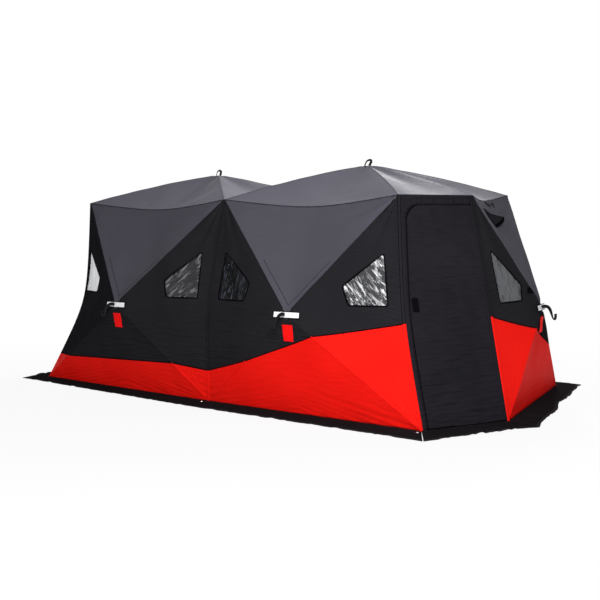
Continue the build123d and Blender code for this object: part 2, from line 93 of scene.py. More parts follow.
def bowed(start: Array, middle: Array, end: Array, t: Array, softness: float) -> Array:
    """Follows a line with one soft bend.

    With q = (sqrt(t² + w²) - w) / (sqrt(1 + w²) - w), a rounded size of t, the point is
    middle + (start - middle)(q - t)/2 + (end - middle)(q + t)/2.

    Args:
        start: The point at t = -1.
        middle: The point at t = 0.
        end: The point at t = 1.
        t: Places along the line.
        softness: The width w of the bend.

    Returns:
        The points, one for each place.
    """
    t = np.asarray(t, dtype=float)
    rounded = (np.sqrt(t * t + softness**2) - softness) / (np.sqrt(1.0 + softness**2) - softness)
    before, after = ((rounded + way * t)[..., None] / 2 for way in (-1, 1))
    return middle + (start - middle) * before + (end - middle) * after


def flattened(nose: float, depth: Array) -> Array:
    """Gives how far cloth sinks under a hub's plate: a soft max(nose - depth, 0), as log(1 + exp(x))."""
    return PLATE_SOFTNESS * np.logaddexp(0.0, (nose - depth) / PLATE_SOFTNESS)


def around(angle: Array | float) -> Array:
    """Gives the unit circle's points (cos, sin) at angles."""
    return np.stack((np.cos(angle), np.sin(angle)), axis=-1)


def superellipse(angle: Array, power: float) -> Array:
    """Gives the rounded square |x|^n + |y|^n = 1 as points round its middle."""
    ways = around(angle)
    return ways * (np.abs(ways) ** power).sum(axis=-1, keepdims=True) ** (-1 / power)


@dataclass(frozen=True)
class Ripple:
    """Random waves in a flat: a sum of sines with seeded directions, lengths and phases.

    height is the waves' usual height, and stretch draws them out along the flat's two axes.
    """

    seed: int
    height: float
    shortest: float
    longest: float
    stretch: tuple[float, float] = (1.0, 1.0)
    waves: int = 12

    def at(self, flat: Array) -> Array:
        """Sums the sines sin(2 pi d.p / length + phase) at points of a flat.

        Args:
            flat: Points in metres, with two coordinates along the last axis.

        Returns:
            The height at each point.
        """
        draw = np.random.default_rng(self.seed)
        turn = draw.uniform(0.0, 2 * np.pi, self.waves)
        lengths = draw.uniform(self.shortest, self.longest, self.waves)
        phases = draw.uniform(0.0, 2 * np.pi, self.waves)
        ways = np.stack((np.cos(turn) / self.stretch[0], np.sin(turn) / self.stretch[1]))
        steps = ways * 2 * np.pi / lengths
        return self.height * np.sin(flat @ steps + phases).sum(axis=-1) / np.sqrt(self.waves / 2)


@dataclass
class Surface:
    """A net of four-sided faces, with flat coordinates in metres for weave and stitching."""

    points: Array
    quads: Array
    flat: Array

    @classmethod
    def from_grid(cls, points: Array, flat: Array, closed: bool = False) -> "Surface":
        """Joins a grid of points into faces.

        Args:
            points: Rows by columns by three.
            flat: Rows by columns by two.
            closed: True where the last column joins the first.

        Returns:
            The net.
        """
        rows, columns = points.shape[:2]
        index = np.arange(rows * columns).reshape(rows, columns)
        if closed:
            index = np.concatenate((index, index[:, :1]), axis=1)
        quads = np.stack((index[:-1, :-1], index[:-1, 1:], index[1:, 1:], index[1:, :-1]), axis=-1)
        return cls(points.reshape(-1, 3), quads.reshape(-1, 4), flat.reshape(-1, 2))

    @classmethod
    def joined(cls, nets: list["Surface"]) -> "Surface":
        """Puts nets in one.

        Args:
            nets: The nets, in order.

        Returns:
            The one net.
        """
        starts = np.cumsum([0] + [len(net.points) for net in nets[:-1]])
        return cls(np.concatenate([net.points for net in nets]),
                   np.concatenate([net.quads + start for net, start in zip(nets, starts)]),
                   np.concatenate([net.flat for net in nets]))

    def normals(self) -> Array:
        """Gives each face's normal with the face's area as its length: half the cross of its diagonals."""
        corners = self.points[self.quads]
        return np.cross(corners[:, 2] - corners[:, 0], corners[:, 3] - corners[:, 1]) / 2

    def facing(self, inside: Array) -> "Surface":
        """Turns the faces of an open net away from a point.

        Args:
            inside: The point.

        Returns:
            The same net.
        """
        outward = self.points[self.quads].mean(axis=1) - inside
        if (self.normals() * outward).sum() < 0:
            self.quads = self.quads[:, ::-1]
        return self

    def sealed(self) -> "Surface":
        """Turns the faces of a closed net outwards, by the sign of the volume they hold."""
        return self.facing(self.points.mean(axis=0))

    def spans(self) -> tuple[float, float]:
        """Measures the two largest spans along the net's own main directions.

        Returns:
            The smaller and the larger.
        """
        middle = self.points - self.points.mean(axis=0)
        turned = middle @ np.linalg.svd(middle.T @ middle)[0]
        spans = np.sort(np.ptp(turned, axis=0))
        return float(spans[-2]), float(spans[-1])


def linear(code: str) -> tuple[float, float, float, float]:
    """Turns an sRGB hex colour to linear light, with full cover.

    Args:
        code: The colour, a hash and six digits.

    Returns:
        Red, green, blue and cover.
    """
    values = np.array([int(code[place:place + 2], 16) for place in (1, 3, 5)]) / 255.0
    light = np.where(values <= 0.04045, values / 12.92, ((values + 0.055) / 1.055) ** 2.4)
    return (*light.tolist(), 1.0)


def add_node(tree: bpy.types.NodeTree, kind: str, settings: dict | None = None,
             links: dict | None = None) -> bpy.types.Node:
    """Adds one node with its settings and links.

    Args:
        tree: The material's node tree.
        kind: The node's type.
        settings: Attributes by name, or sockets by name or number, with their values.
        links: Sockets by name or number, with the node and output that feed them.

    Returns:
        The new node.
    """
    node = tree.nodes.new(kind)
    for key, value in (settings or {}).items():
        if isinstance(key, str) and hasattr(node, key):
            setattr(node, key, value)
        else:
            node.inputs[key].default_value = value
    for key, (source, output) in (links or {}).items():
        tree.links.new(source.outputs[output], node.inputs[key])
    return node


def seen_mask(tree: bpy.types.NodeTree) -> bpy.types.Node:
    """Adds a mask that is one for what the camera, gloss or glass sees.

    Args:
        tree: The node tree of the floor's material or of the world.

    Returns:
        The mask's node.
    """
    ray = add_node(tree, "ShaderNodeLightPath")
    plain = add_node(tree, "ShaderNodeMath", {"operation": "MAXIMUM"},
                     {0: (ray, "Is Camera Ray"), 1: (ray, "Is Glossy Ray")})
    return add_node(tree, "ShaderNodeMath", {"operation": "MAXIMUM"},
                    {0: (plain, "Value"), 1: (ray, "Is Transmission Ray")})


class Finish:
    """A finish: makes its material once and hands it to every piece."""

    made: dict[str, bpy.types.Material] = {}

    def dress(self, tree: bpy.types.NodeTree, coords: bpy.types.Node) -> bpy.types.Node:
        """Adds the finish's nodes and returns the shader."""
        raise NotImplementedError

    def material(self) -> bpy.types.Material:
        """Gives the finish's material, made at the first call.

        Returns:
            The material.
        """
        if self.name not in Finish.made:
            material = bpy.data.materials.new(self.name)
            material.use_nodes = True
            material.node_tree.nodes.clear()
            coords = add_node(material.node_tree, "ShaderNodeTexCoord")
            shader = self.dress(material.node_tree, coords)
            add_node(material.node_tree, "ShaderNodeOutputMaterial", links={"Surface": (shader, 0)})
            Finish.made[self.name] = material
        return Finish.made[self.name]


def wave_scale(period: float) -> float:
    """Gives the Wave texture's scale for bands one period apart."""
    return 2 * np.pi / 20.0 / period


@dataclass(frozen=True)
class ClothFinish(Finish):
    """Coated woven polyester: an even dye, dull or softly shining, with creases that catch the light."""

    name: str
    slot: str
    colour: str
    shade: str
    roughness: float = 0.58
    gloss: float = 0.28
    thread: float = 0.004
    tone_size: float = 0.45
    crease_size: float = 0.055
    crease_height: float = 0.0022
    crinkle_width: float = 0.026
    crinkle_length: float = 0.22
    crinkle_height: float = 0.0070

    def dress(self, tree: bpy.types.NodeTree, coords: bpy.types.Node) -> bpy.types.Node:
        """Builds the cloth: two crossed wave bands for the weave, noise for creases, crinkles and the dye.

        The crinkles are noise drawn out along the roll, as the quilted lining leaves them. The real thread
        is near half a millimetre; it is drawn eight times coarser so that it shows.

        Args:
            tree: The material's node tree.
            coords: The texture coordinates.

        Returns:
            The shader node.
        """
        tone = add_node(tree, "ShaderNodeTexNoise", {"Scale": 1 / self.tone_size, "Detail": 4.0},
                        {"Vector": (coords, "Object")})
        colour = add_node(tree, "ShaderNodeMix",
                          {"data_type": "RGBA", 6: linear(self.colour), 7: linear(self.shade)},
                          {0: (tone, "Fac")})
        rough = add_node(tree, "ShaderNodeMapRange",
                         {"From Min": 0.3, "From Max": 0.7, "To Min": self.roughness - 0.07,
                          "To Max": self.roughness + 0.07}, {"Value": (tone, "Fac")})
        warp, weft = (
            add_node(tree, "ShaderNodeTexWave", {"bands_direction": way, "Scale": wave_scale(self.thread)},
                     {"Vector": (coords, "UV")}) for way in ("X", "Y"))
        weave = add_node(tree, "ShaderNodeMath", {"operation": "MULTIPLY"},
                         {0: (warp, "Fac"), 1: (weft, "Fac")})
        crease = add_node(tree, "ShaderNodeTexNoise",
                          {"Scale": 1 / self.crease_size, "Detail": 3.0, "Roughness": 0.45,
                           "Distortion": 0.4}, {"Vector": (coords, "Object")})
        folds = add_node(tree, "ShaderNodeBump", {"Strength": 0.35, "Distance": self.crease_height},
                         {"Height": (crease, "Fac")})
        drawn = add_node(tree, "ShaderNodeMapping",
                         {"Scale": (self.crinkle_width / self.crinkle_length, 1.0, 1.0)},
                         {"Vector": (coords, "UV")})
        lines = add_node(tree, "ShaderNodeTexNoise",
                         {"Scale": 1 / self.crinkle_width, "Detail": 2.0, "Distortion": 0.3},
                         {"Vector": (drawn, "Vector")})
        crinkles = add_node(tree, "ShaderNodeBump", {"Strength": 0.5, "Distance": self.crinkle_height},
                            {"Height": (lines, "Fac"), "Normal": (folds, "Normal")})
        bump = add_node(tree, "ShaderNodeBump", {"Strength": 0.25, "Distance": self.thread / 6},
                        {"Height": (weave, "Value"), "Normal": (crinkles, "Normal")})
        return add_node(tree, "ShaderNodeBsdfPrincipled", {"Specular IOR Level": self.gloss},
                        {"Base Color": (colour, 2), "Roughness": (rough, "Result"),
                         "Normal": (bump, "Normal")})


@dataclass(frozen=True)
class VinylFinish(Finish):
    """Clear pressed PVC sheet: see-through, glossy, with long soft crinkles; a streak colour painted along
    their ridges stands in for glints and reflections.
    """

    name: str
    tint: str
    # streak: painted light; lighter streaks are painted glints and reflections, darker ones painted shade in
    # the crinkles
    streak: str
    clear: float
    crinkle_height: float
    gloss: float
    slot: str = "clear_vinyl"
    crinkle_size: float = 0.030
    drawn_out: float = 0.20

    def dress(self, tree: bpy.types.NodeTree, coords: bpy.types.Node) -> bpy.types.Node:
        """Builds the vinyl: one drawn-out noise bends the gloss, and along its ridges mixes in the streak
        colour, painted glints and reflections.

        Args:
            tree: The material's node tree.
            coords: The texture coordinates.

        Returns:
            The shader node.
        """
        streaks = add_node(tree, "ShaderNodeMapping", {"Scale": (self.drawn_out, 1.0, 1.0)},
                           {"Vector": (coords, "UV")})
        crinkle = add_node(tree, "ShaderNodeTexNoise",
                           {"Scale": 1 / self.crinkle_size, "Detail": 3.0, "Distortion": 1.1},
                           {"Vector": (streaks, "Vector")})
        bump = add_node(tree, "ShaderNodeBump", {"Strength": 1.0, "Distance": self.crinkle_height},
                        {"Height": (crinkle, "Fac")})
        # painted highlight: the noise's ridges take the streak colour, glints painted into the base colour
        ridge = add_node(tree, "ShaderNodeMapRange", {"From Min": 0.50, "From Max": 0.68},
                         {"Value": (crinkle, "Fac")})
        colour = add_node(tree, "ShaderNodeMix",
                          {"data_type": "RGBA", 6: linear(self.tint), 7: linear(self.streak)},
                          {0: (ridge, "Result")})
        return add_node(tree, "ShaderNodeBsdfPrincipled",
                        {"Transmission Weight": self.clear, "Roughness": 0.07, "IOR": 1.53,
                         "Specular IOR Level": self.gloss},
                        {"Base Color": (colour, 2), "Normal": (bump, "Normal")})


@dataclass(frozen=True)
class WebbingFinish(Finish):
    """Woven polypropylene webbing: dull ribs along the strap, each some three millimetres wide."""

    name: str = "black_polypropylene_webbing"
    slot: str = "black_webbing"
    colour: str = "#08070a"
    shade: str = "#121114"
    rib: float = 0.003
    rib_height: float = 0.0008

    def dress(self, tree: bpy.types.NodeTree, coords: bpy.types.Node) -> bpy.types.Node:
        """Builds the webbing: wave bands across the strap, in colour and in height.

        Args:
            tree: The material's node tree.
            coords: The texture coordinates.

        Returns:
            The shader node.
        """
        ribs = add_node(tree, "ShaderNodeTexWave",
                        {"bands_direction": "X", "Scale": wave_scale(self.rib), "Distortion": 0.6},
                        {"Vector": (coords, "UV")})
        colour = add_node(tree, "ShaderNodeMix",
                          {"data_type": "RGBA", 6: linear(self.colour), 7: linear(self.shade)},
                          {0: (ribs, "Fac")})
        bump = add_node(tree, "ShaderNodeBump", {"Strength": 0.4, "Distance": self.rib_height},
                        {"Height": (ribs, "Fac")})
        return add_node(tree, "ShaderNodeBsdfPrincipled", {"Roughness": 0.7, "Specular IOR Level": 0.15},
                        {"Base Color": (colour, 2), "Normal": (bump, "Normal")})


@dataclass(frozen=True)
class MouldedFinish(Finish):
    """Moulded or drawn plastic: an even dull colour with a fine grain."""

    name: str
    slot: str
    colour: str
    shade: str
    roughness: float
    grain: float = 0.002
    grain_height: float = 0.0004
    mark_size: float = 0.03

    def dress(self, tree: bpy.types.NodeTree, coords: bpy.types.Node) -> bpy.types.Node:
        """Builds the plastic: fine noise for the grain, broad noise for handling marks.

        Args:
            tree: The material's node tree.
            coords: The texture coordinates.

        Returns:
            The shader node.
        """
        marks = add_node(tree, "ShaderNodeTexNoise", {"Scale": 1 / self.mark_size, "Detail": 4.0},
                         {"Vector": (coords, "Object")})
        colour = add_node(tree, "ShaderNodeMix",
                          {"data_type": "RGBA", 6: linear(self.colour), 7: linear(self.shade)},
                          {0: (marks, "Fac")})
        grain = add_node(tree, "ShaderNodeTexNoise", {"Scale": 1 / self.grain, "Detail": 2.0},
                         {"Vector": (coords, "Object")})
        bump = add_node(tree, "ShaderNodeBump", {"Strength": 0.2, "Distance": self.grain_height},
                        {"Height": (grain, "Fac")})
        return add_node(tree, "ShaderNodeBsdfPrincipled", {"Roughness": self.roughness},
                        {"Base Color": (colour, 2), "Normal": (bump, "Normal")})


@dataclass(frozen=True)
class SteelFinish(Finish):
    """Nickel-plated steel: bright, slightly worn."""

    name: str = "nickel_plated_steel"
    slot: str = "hub_nylon"
    colour: str = "#c9c9cb"
    wear_size: float = 0.004

    def dress(self, tree: bpy.types.NodeTree, coords: bpy.types.Node) -> bpy.types.Node:
        """Builds the metal: noise of a few millimetres roughens it unevenly.

        Args:
            tree: The material's node tree.
            coords: The texture coordinates.

        Returns:
            The shader node.
        """
        wear = add_node(tree, "ShaderNodeTexNoise", {"Scale": 1 / self.wear_size, "Detail": 3.0},
                        {"Vector": (coords, "Object")})
        rough = add_node(tree, "ShaderNodeMapRange", {"To Min": 0.18, "To Max": 0.38},
                         {"Value": (wear, "Fac")})
        return add_node(tree, "ShaderNodeBsdfPrincipled",
                        {"Base Color": linear(self.colour), "Metallic": 1.0},
                        {"Roughness": (rough, "Result")})


ROOF_CLOTH = ClothFinish("grey_roof_polyester", "roof_canvas", "#66656f", "#5e5d66",
                         roughness=0.62, gloss=0.02, crinkle_height=0.0070)
# painted shade: the walls' grey stands for the roof's grey cloth, set darker for walls that take less light
# than the roof
GREY_CLOTH = ClothFinish("shade_darkened_grey_wall_polyester", "grey_wall_canvas", "#4b4a52", "#424149",
                         roughness=0.6, gloss=0.02, crinkle_height=0.0100)
BLACK_CLOTH = ClothFinish("black_wall_polyester", "black_wall_canvas", "#252427", "#1b1a1d",
                          roughness=0.62, gloss=0.0, crinkle_height=0.0340)
DOOR_CLOTH = ClothFinish("black_door_polyester", "black_wall_canvas", "#242226", "#17161a",
                         roughness=0.58, gloss=0.0, crinkle_height=0.0480)
RED_CLOTH = ClothFinish("red_wall_polyester", "red_wall_canvas", "#e61a12", "#d4110c",
                        roughness=0.6, gloss=0.025, crinkle_height=0.0060)
SKIRT_CLOTH = ClothFinish("black_skirt_polyester", "skirt_cloth", "#201e20", "#171517",
                          roughness=0.7, gloss=0.0, crinkle_height=0.0150)
# lighter than the skirt: partly the turned hem, partly painted light on the skirt's lit outer edge
HEM_CLOTH = ClothFinish("hem_with_painted_light_polyester", "skirt_cloth", "#2c2b2d", "#232224", roughness=0.6, gloss=0.0)
TAG_CLOTH = ClothFinish("red_tag_polyester", "red_tag_cloth", "#ee1414", "#e00c0e",
                        gloss=0.06, crinkle_height=0.0120)
TAPE = ClothFinish("bright_reflective_tape", "bright_tape", "#ececef", "#e4e4e8",
                   roughness=0.4, crinkle_height=0.001)
VENT_CLOTH = ClothFinish("dark_vent_polyester", "vent_mesh", "#27262a", "#1f1e22", roughness=0.6, gloss=0.0)
BINDING = ClothFinish("black_binding_tape", "black_webbing", "#0c0b0e", "#09080b", roughness=0.6, gloss=0.0)
# dark grey: on the eave the tape is partly painted shade for the shadow under the roof's edge; on the tips
# it is the stitching's colour
EAVE_TAPE = ClothFinish("dark_grey_felled_seam", "grey_wall_canvas", "#2e2d33", "#29282d",
                        roughness=0.6, gloss=0.03)
# Painted light: one clear PVC in lit and shaded copies. Each tint paints how lit its pane looks: near black
# for the dark inside, near white for the backdrop seen through the far pane, greys for lit panes; streaks
# are painted glints, sheen and shade.
VINYL = VinylFinish("clear_pvc_sheet", "#040507", "#363a44", 0.10, 0.014, 0.03)
SHEEN_VINYL = VinylFinish("sheen_painted_pvc_sheet", "#232327", "#87878b", 0.30, 0.016, 0.20)
GLINT_PAINTED_VINYL = VinylFinish("glint_painted_pvc_sheet", "#2c2d31", "#e4e4e7", 0.20, 0.020, 0.50)
DAYLIT_VINYL = VinylFinish("daylit_pvc_sheet", "#56585b", "#36383b", 0.20, 0.007, 0.08)
BACKDROP_PAINTED_VINYL = VinylFinish("backdrop_painted_pvc_sheet", "#f6f7f9", "#dedfe2", 0.10, 0.005, 0.20)
WEBBING = WebbingFinish()
STEEL = SteelFinish()
FIBREGLASS = MouldedFinish("drawn_black_fibreglass", "fibreglass_rod", "#1a1a1b", "#222223", 0.35)
NYLON = MouldedFinish("moulded_black_nylon", "hub_nylon", "#131314", "#19191a", 0.45)


def put(surface: Surface, name: str, finish: Finish, body: Body = Body.SHELTER, thickness: float = 0.0,
        nodes: tuple[str, ...] = ()) -> bpy.types.Object:
    """Makes a piece of a net, with its doubles merged, its finish and body.

    Args:
        surface: The net, facing outwards.
        name: The piece's name.
        finish: Its finish.
        body: The body that carries it.
        thickness: Its wall, grown inwards, or nought for a closed net.
        nodes: The CAD nodes that it stands for.

    Returns:
        The new object.
    """
    mesh = bpy.data.meshes.new(name)
    count = len(surface.quads)
    mesh.vertices.add(len(surface.points))
    mesh.vertices.foreach_set("co", surface.points.astype(np.float32).ravel())
    mesh.loops.add(4 * count)
    mesh.loops.foreach_set("vertex_index", surface.quads.astype(np.int32).ravel())
    mesh.polygons.add(count)
    mesh.polygons.foreach_set("loop_start", np.arange(0, 4 * count, 4, dtype=np.int32))
    mesh.update(calc_edges=True)
    layer = mesh.uv_layers.new(name="flat")
    layer.data.foreach_set("uv", surface.flat[surface.quads.ravel()].astype(np.float32).ravel())
    net = bmesh.new()
    net.from_mesh(mesh)
    bmesh.ops.remove_doubles(net, verts=net.verts, dist=MERGE)
    bmesh.ops.dissolve_degenerate(net, edges=net.edges, dist=MERGE / 2)
    net.to_mesh(mesh)
    net.free()
    mesh.shade_smooth()
    mesh.materials.append(finish.material())
    piece = bpy.data.objects.new(name, mesh)
    bpy.context.collection.objects.link(piece)
    if thickness:
        wall = piece.modifiers.new("wall", "SOLIDIFY")
        wall.thickness = thickness
        wall.offset = -1.0
    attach(piece, body.value)
    if nodes:
        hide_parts(*nodes)
    LOG.info("%s: %d faces", name, len(mesh.polygons))
    return piece


def put_sheet(surface: Surface, name: str, finish: Finish, held: Held, rests_on: tuple[str, ...],
              body: Body = Body.SHELTER, thickness: float = 0.003,
              nodes: tuple[str, ...] = ()) -> bpy.types.Object:
    """Args:
        surface: The net, facing outwards.
        name: The piece's name.
        finish: Its finish.
        held: How it is held; not used.
        rests_on: What it hangs from or lies on; not used.
        body: The body that carries it.
        thickness: The cloth's thickness.
        nodes: The CAD nodes that it stands for.

    Returns:
        The new object.
    """
    piece = put(surface, name, finish, body, thickness, nodes)
    return piece


def banded(path: Array, normals: Array, width: float, height: float, sink: float = 0.0015) -> Surface:
    """Carries a low rounded band along a path, closed at both ends.

    Across the band the height is h(1 - q²), q going from -1 to 1, over a flat underside.

    Args:
        path: The points of the path.
        normals: The way up, at each point or for all.
        width: The band's width.
        height: Its height over the path.
        sink: How far its underside lies under the path.

    Returns:
        The band's closed net.
    """
    normals = np.broadcast_to(normals, path.shape)
    path = np.concatenate((path[:1], path, path[-1:]))
    normals = unit(np.concatenate((normals[:1], normals, normals[-1:])))
    tangents = np.gradient(path, axis=0)
    tangents[:2], tangents[-2:] = tangents[2], tangents[-3]
    sides = unit(np.cross(tangents, normals))
    q = np.linspace(-1.0, 1.0, 7)
    across = np.concatenate((q, q[::-3])) * width / 2
    rise = np.concatenate((height * (1 - q * q), np.full(3, -sink)))
    shut = np.ones(len(path))
    shut[[0, -1]] = 0.0
    points = (path[:, None] + sides[:, None] * (across * shut[:, None])[..., None]
              + normals[:, None] * (rise * shut[:, None])[..., None])
    run = np.concatenate(([0.0], np.cumsum(np.linalg.norm(np.diff(path, axis=0), axis=1))))
    flat = np.stack(np.broadcast_arrays(across[None], run[:, None]), axis=-1)
    return Surface.from_grid(points, flat, closed=True).sealed()


@dataclass(frozen=True)
class Seam:
    """A sewn corner of the hut: its top, its bend at hub height, its foot and the red band's height."""

    top: Array
    middle: Array
    foot: Array
    band_share: float

    def at(self, t: Array) -> Array:
        """Follows the seam from its top at t = -1 to its foot at t = 1."""
        return bowed(self.top, self.middle, self.foot, t, SEAM_SOFTNESS)

    def band_end(self) -> Array:
        """Gives the red band's upper edge on the seam, as shares of its top, middle and foot."""
        return np.array((0.0, self.band_share, 1 - self.band_share))

    def half_turned(self) -> "Seam":
        """Gives the same seam on the other half of the hut."""
        return Seam(self.top * HALF_TURN, self.middle * HALF_TURN, self.foot * HALF_TURN, self.band_share)


@dataclass
class HubWall:
    """A wall of cloth that its hub pushes out: a shallow cone from the hub to the seams round it."""

    name: str
    left: Seam
    right: Seam
    hub: Array
    eave: Array
    centre: Array
    band_shares: tuple[float, float]
    window_shares: Array
    streaks: tuple[float, float]
    puckers: tuple[float, float]
    panes: tuple[VinylFinish, VinylFinish]
    seed: int
    hollow: float = 0.012
    hub_hole: float = 0.028
    top_fan: tuple[float, float, int] = (0.0076, 0.46, 15)
    foot_fan: tuple[float, float, int] = (0.0020, 0.36, 44)
    pucker_spacing: float = 0.044
    pucker_sway: float = 0.31
    pucker_reach: float = 0.12
    wave_height: float = 0.0016
    rim_rest: float = 0.09
    felled_width: float = 0.012
    tape_width: float = 0.010
    stitch_width: float = 0.007
    tip_inset: float = 0.042
    tip_reach: float = 0.46

    def __post_init__(self) -> None:
        """Works out the wall's own axes and how far its nose is flattened under the hub's plate."""
        self.axis = unit(np.cross(self.right.foot - self.left.top, self.right.top - self.left.foot))
        self.along = unit(np.cross(UP, self.axis))
        self.rise = np.cross(self.axis, self.along)
        rim = np.array((self.left.top, self.eave, self.right.top, self.right.middle, self.right.foot,
                        self.left.foot, self.left.middle))
        slopes = np.abs(unit(np.cross(rim - self.hub, np.roll(rim, -1, axis=0) - self.hub)) @ self.axis)
        self.nose = self.hub_hole * (np.sqrt(1 - slopes**2) / slopes).max()
        self.broad = Ripple(self.seed, self.wave_height, 0.22, 0.7)

    def half_turned(self, name: str, seed: int) -> "HubWall":
        """Gives the same wall on the other half of the hut."""
        return HubWall(name, self.left.half_turned(), self.right.half_turned(), self.hub * HALF_TURN,
                       self.eave * HALF_TURN, self.centre * HALF_TURN, self.band_shares, self.window_shares,
                       self.streaks, self.puckers, self.panes, seed)

    def flat(self, points: Array) -> Array:
        """Lays points in the wall's own flat, metres along and up."""
        return np.stack(((points - self.hub) @ self.along, (points - self.hub) @ self.rise), axis=-1)

    def net(self, points: Array) -> Surface:
        """Joins a grid of the wall's points into cloth that faces outwards."""
        return Surface.from_grid(points, self.flat(points)).facing(self.centre)

    def draped(self, rim: Array, rho: Array, psi: Array, lift: Array | float = 0.0) -> Array:
        """Stretches cloth from the hub to the rim and gives it its hollows, folds and puckers.

        The point is hub + rho (rim - hub), moved along the wall's axis by -hollow sin(pi psi) sin(pi rho),
        by broad waves, by folds that fan out from the four corners as exp(-r / reach) sin(n angle), and by
        puckers along the seams. Under the hub's plate the cone is flattened.

        Args:
            rim: Points of the seams.
            rho: The share of the way from the hub to the rim.
            psi: The share of the way from one pole to the next.
            lift: How far over the cloth the point lies.

        Returns:
            The points.
        """
        points = self.hub + (rim - self.hub) * rho[..., None]
        flat = self.flat(points)
        inner = smooth_step(0.0, self.rim_rest, 1.0 - rho)
        move = -self.hollow * np.sin(np.pi * psi) * np.sin(np.pi * np.clip(rho, 0.0, 1.0))
        move = move + inner * self.broad.at(flat)
        fans = ((self.left.top, self.top_fan), (self.right.top, self.top_fan),
                (self.right.foot, self.foot_fan), (self.left.foot, self.foot_fan))
        for corner, (height, reach, folds) in fans:
            away = flat - self.flat(corner)
            angle = np.arctan2(away[..., 1], away[..., 0])
            fan = np.sin(folds * angle + 1.7 * self.seed + 0.9 * np.sin(3 * folds * angle / 7))
            move = move + inner * height * np.exp(-np.linalg.norm(away, axis=-1) / reach) * fan
        gap = (1.0 - rho) * np.linalg.norm(rim - self.hub, axis=-1)
        run = flat[..., 1] + 0.2 * np.abs(flat[..., 0])
        height = self.puckers[0] + (self.puckers[1] - self.puckers[0]) * smooth_step(-0.2, 0.2, flat[..., 0])
        sway = 2.2 * np.sin(2 * np.pi * run / self.pucker_sway + self.seed)
        pucker = np.sin(2 * np.pi * run / self.pucker_spacing + sway)
        move = move + height * pucker * np.exp(-gap / self.pucker_reach) * smooth_step(0.0, 0.025, gap)
        sunk = flattened(self.nose, (self.hub - points) @ self.axis)
        return points + self.axis * (move + lift - sunk)[..., None]

    def on_upper(self, u: Array, rho: Array, lift: Array | float = 0.0) -> Array:
        """Places points of the grey triangle, u across the eave and rho out from the hub."""
        rim = bowed(self.left.top, self.eave, self.right.top, 2 * u - 1, EAVE_SOFTNESS)
        return self.draped(rim, rho, u, lift)

    def on_side(self, seam: Seam, shares: Array, lift: Array | float = 0.0) -> Array:
        """Places points of a side panel by shares of its corners.

        Args:
            seam: The seam that bounds the panel.
            shares: The shares of the seam's top, middle and foot; the rest is the hub's.
            lift: How far over the cloth the points lie.

        Returns:
            The points.
        """
        rho = shares.sum(axis=-1)
        t = (shares[..., 2] - shares[..., 0]) / np.maximum(rho, 1e-6)
        return self.draped(seam.at(t), rho, (t + 1) / 2, lift)

    def on_lower(self, shares: Array, lift: Array | float = 0.0) -> Array:
        """Places points of the bottom triangle by shares of its corners.

        Args:
            shares: The shares of the left and right foot; the rest is the hub's.
            lift: How far over the cloth the points lie.

        Returns:
            The points.
        """
        rho = shares.sum(axis=-1)
        psi = shares[..., 1] / np.maximum(rho, 1e-6)
        return self.draped(mixed(self.left.foot, self.right.foot, psi), rho, psi, lift)

    def pole_ends(self) -> tuple[float, float]:
        """Gives the red band's upper edge on the two lower poles, as shares of the foot."""
        return 1 - self.band_shares[0], 1 - self.band_shares[1]

    def upper_cloth(self) -> Surface:
        """Makes the grey triangle between the hub and the eave."""
        rho, u = np.meshgrid(np.linspace(NOSE_SHARE, 1.0, 52), np.linspace(0.0, 1.0, 100), indexing="ij")
        return self.net(self.on_upper(u, rho))

    def side_cloth(self, seam: Seam, pole_end: float) -> Surface:
        """Makes a side panel: a ring of cloth round the window, and the black cloth under it.

        The ring goes straight from the window's edge to the panel's, along rays from the window's middle.
        Its lower edge, from the hub to the seam, is the upper edge of the cloth below.

        Args:
            seam: The seam that bounds the panel.
            pole_end: The share of the foot at which the red band crosses the lower pole.

        Returns:
            The panel's net.
        """
        window = WindowCut(self, seam)
        pole, across, rise = (np.linspace(*ends, count)[:-1] for ends, count in
                              (((1.0, NOSE_SHARE), 74), ((NOSE_SHARE, 1.0), 52), ((0.0, 1.0), 90)))
        nought = np.zeros_like
        edge = np.concatenate((
            np.stack((pole, nought(pole), nought(pole)), axis=-1),
            np.stack((nought(across), across, nought(across)), axis=-1),
            np.stack((rise, 1 - rise, nought(rise)), axis=-1)))
        away = window.to_flat(edge) - window.middle
        angle = np.arctan2(away[:, 1], away[:, 0])
        inner = window.to_shares(window.outline(angle, 0.0))
        shares = mixed(inner[None], edge[None], np.linspace(0.0, 1.0, 22)[:, None])
        points = self.on_side(seam, shares)
        ring = Surface.from_grid(points, self.flat(points), closed=True)
        w = np.linspace(0.0, 1.0, 52)
        start = np.stack((nought(w), NOSE_SHARE + (1 - NOSE_SHARE) * w, nought(w)), axis=-1)
        below = np.stack((nought(w), w, NOSE_SHARE * (1 - w)), axis=-1)
        band = mixed(np.array((0.0, 0.0, pole_end)), seam.band_end(), w)
        under = mixed(below[None], band[None], np.linspace(0.0, 1.0, 44)[:, None])
        points = self.on_side(seam, np.concatenate((start[None], under)))
        return Surface.joined([ring, Surface.from_grid(points, self.flat(points))]).facing(self.centre)

    def lower_cloth(self) -> Surface:
        """Makes the black part of the bottom triangle, straight from the hub to the red band.

        Returns:
            The triangle's net.
        """
        u, k = np.meshgrid(np.linspace(0.0, 1.0, 64), np.linspace(0.0, 1.0, 44))
        left_end, right_end = self.pole_ends()
        start = np.stack((NOSE_SHARE * (1 - u), NOSE_SHARE * u), axis=-1)
        band = np.stack((left_end * (1 - u), right_end * u), axis=-1)
        return self.net(self.on_lower(mixed(start, band, k)))

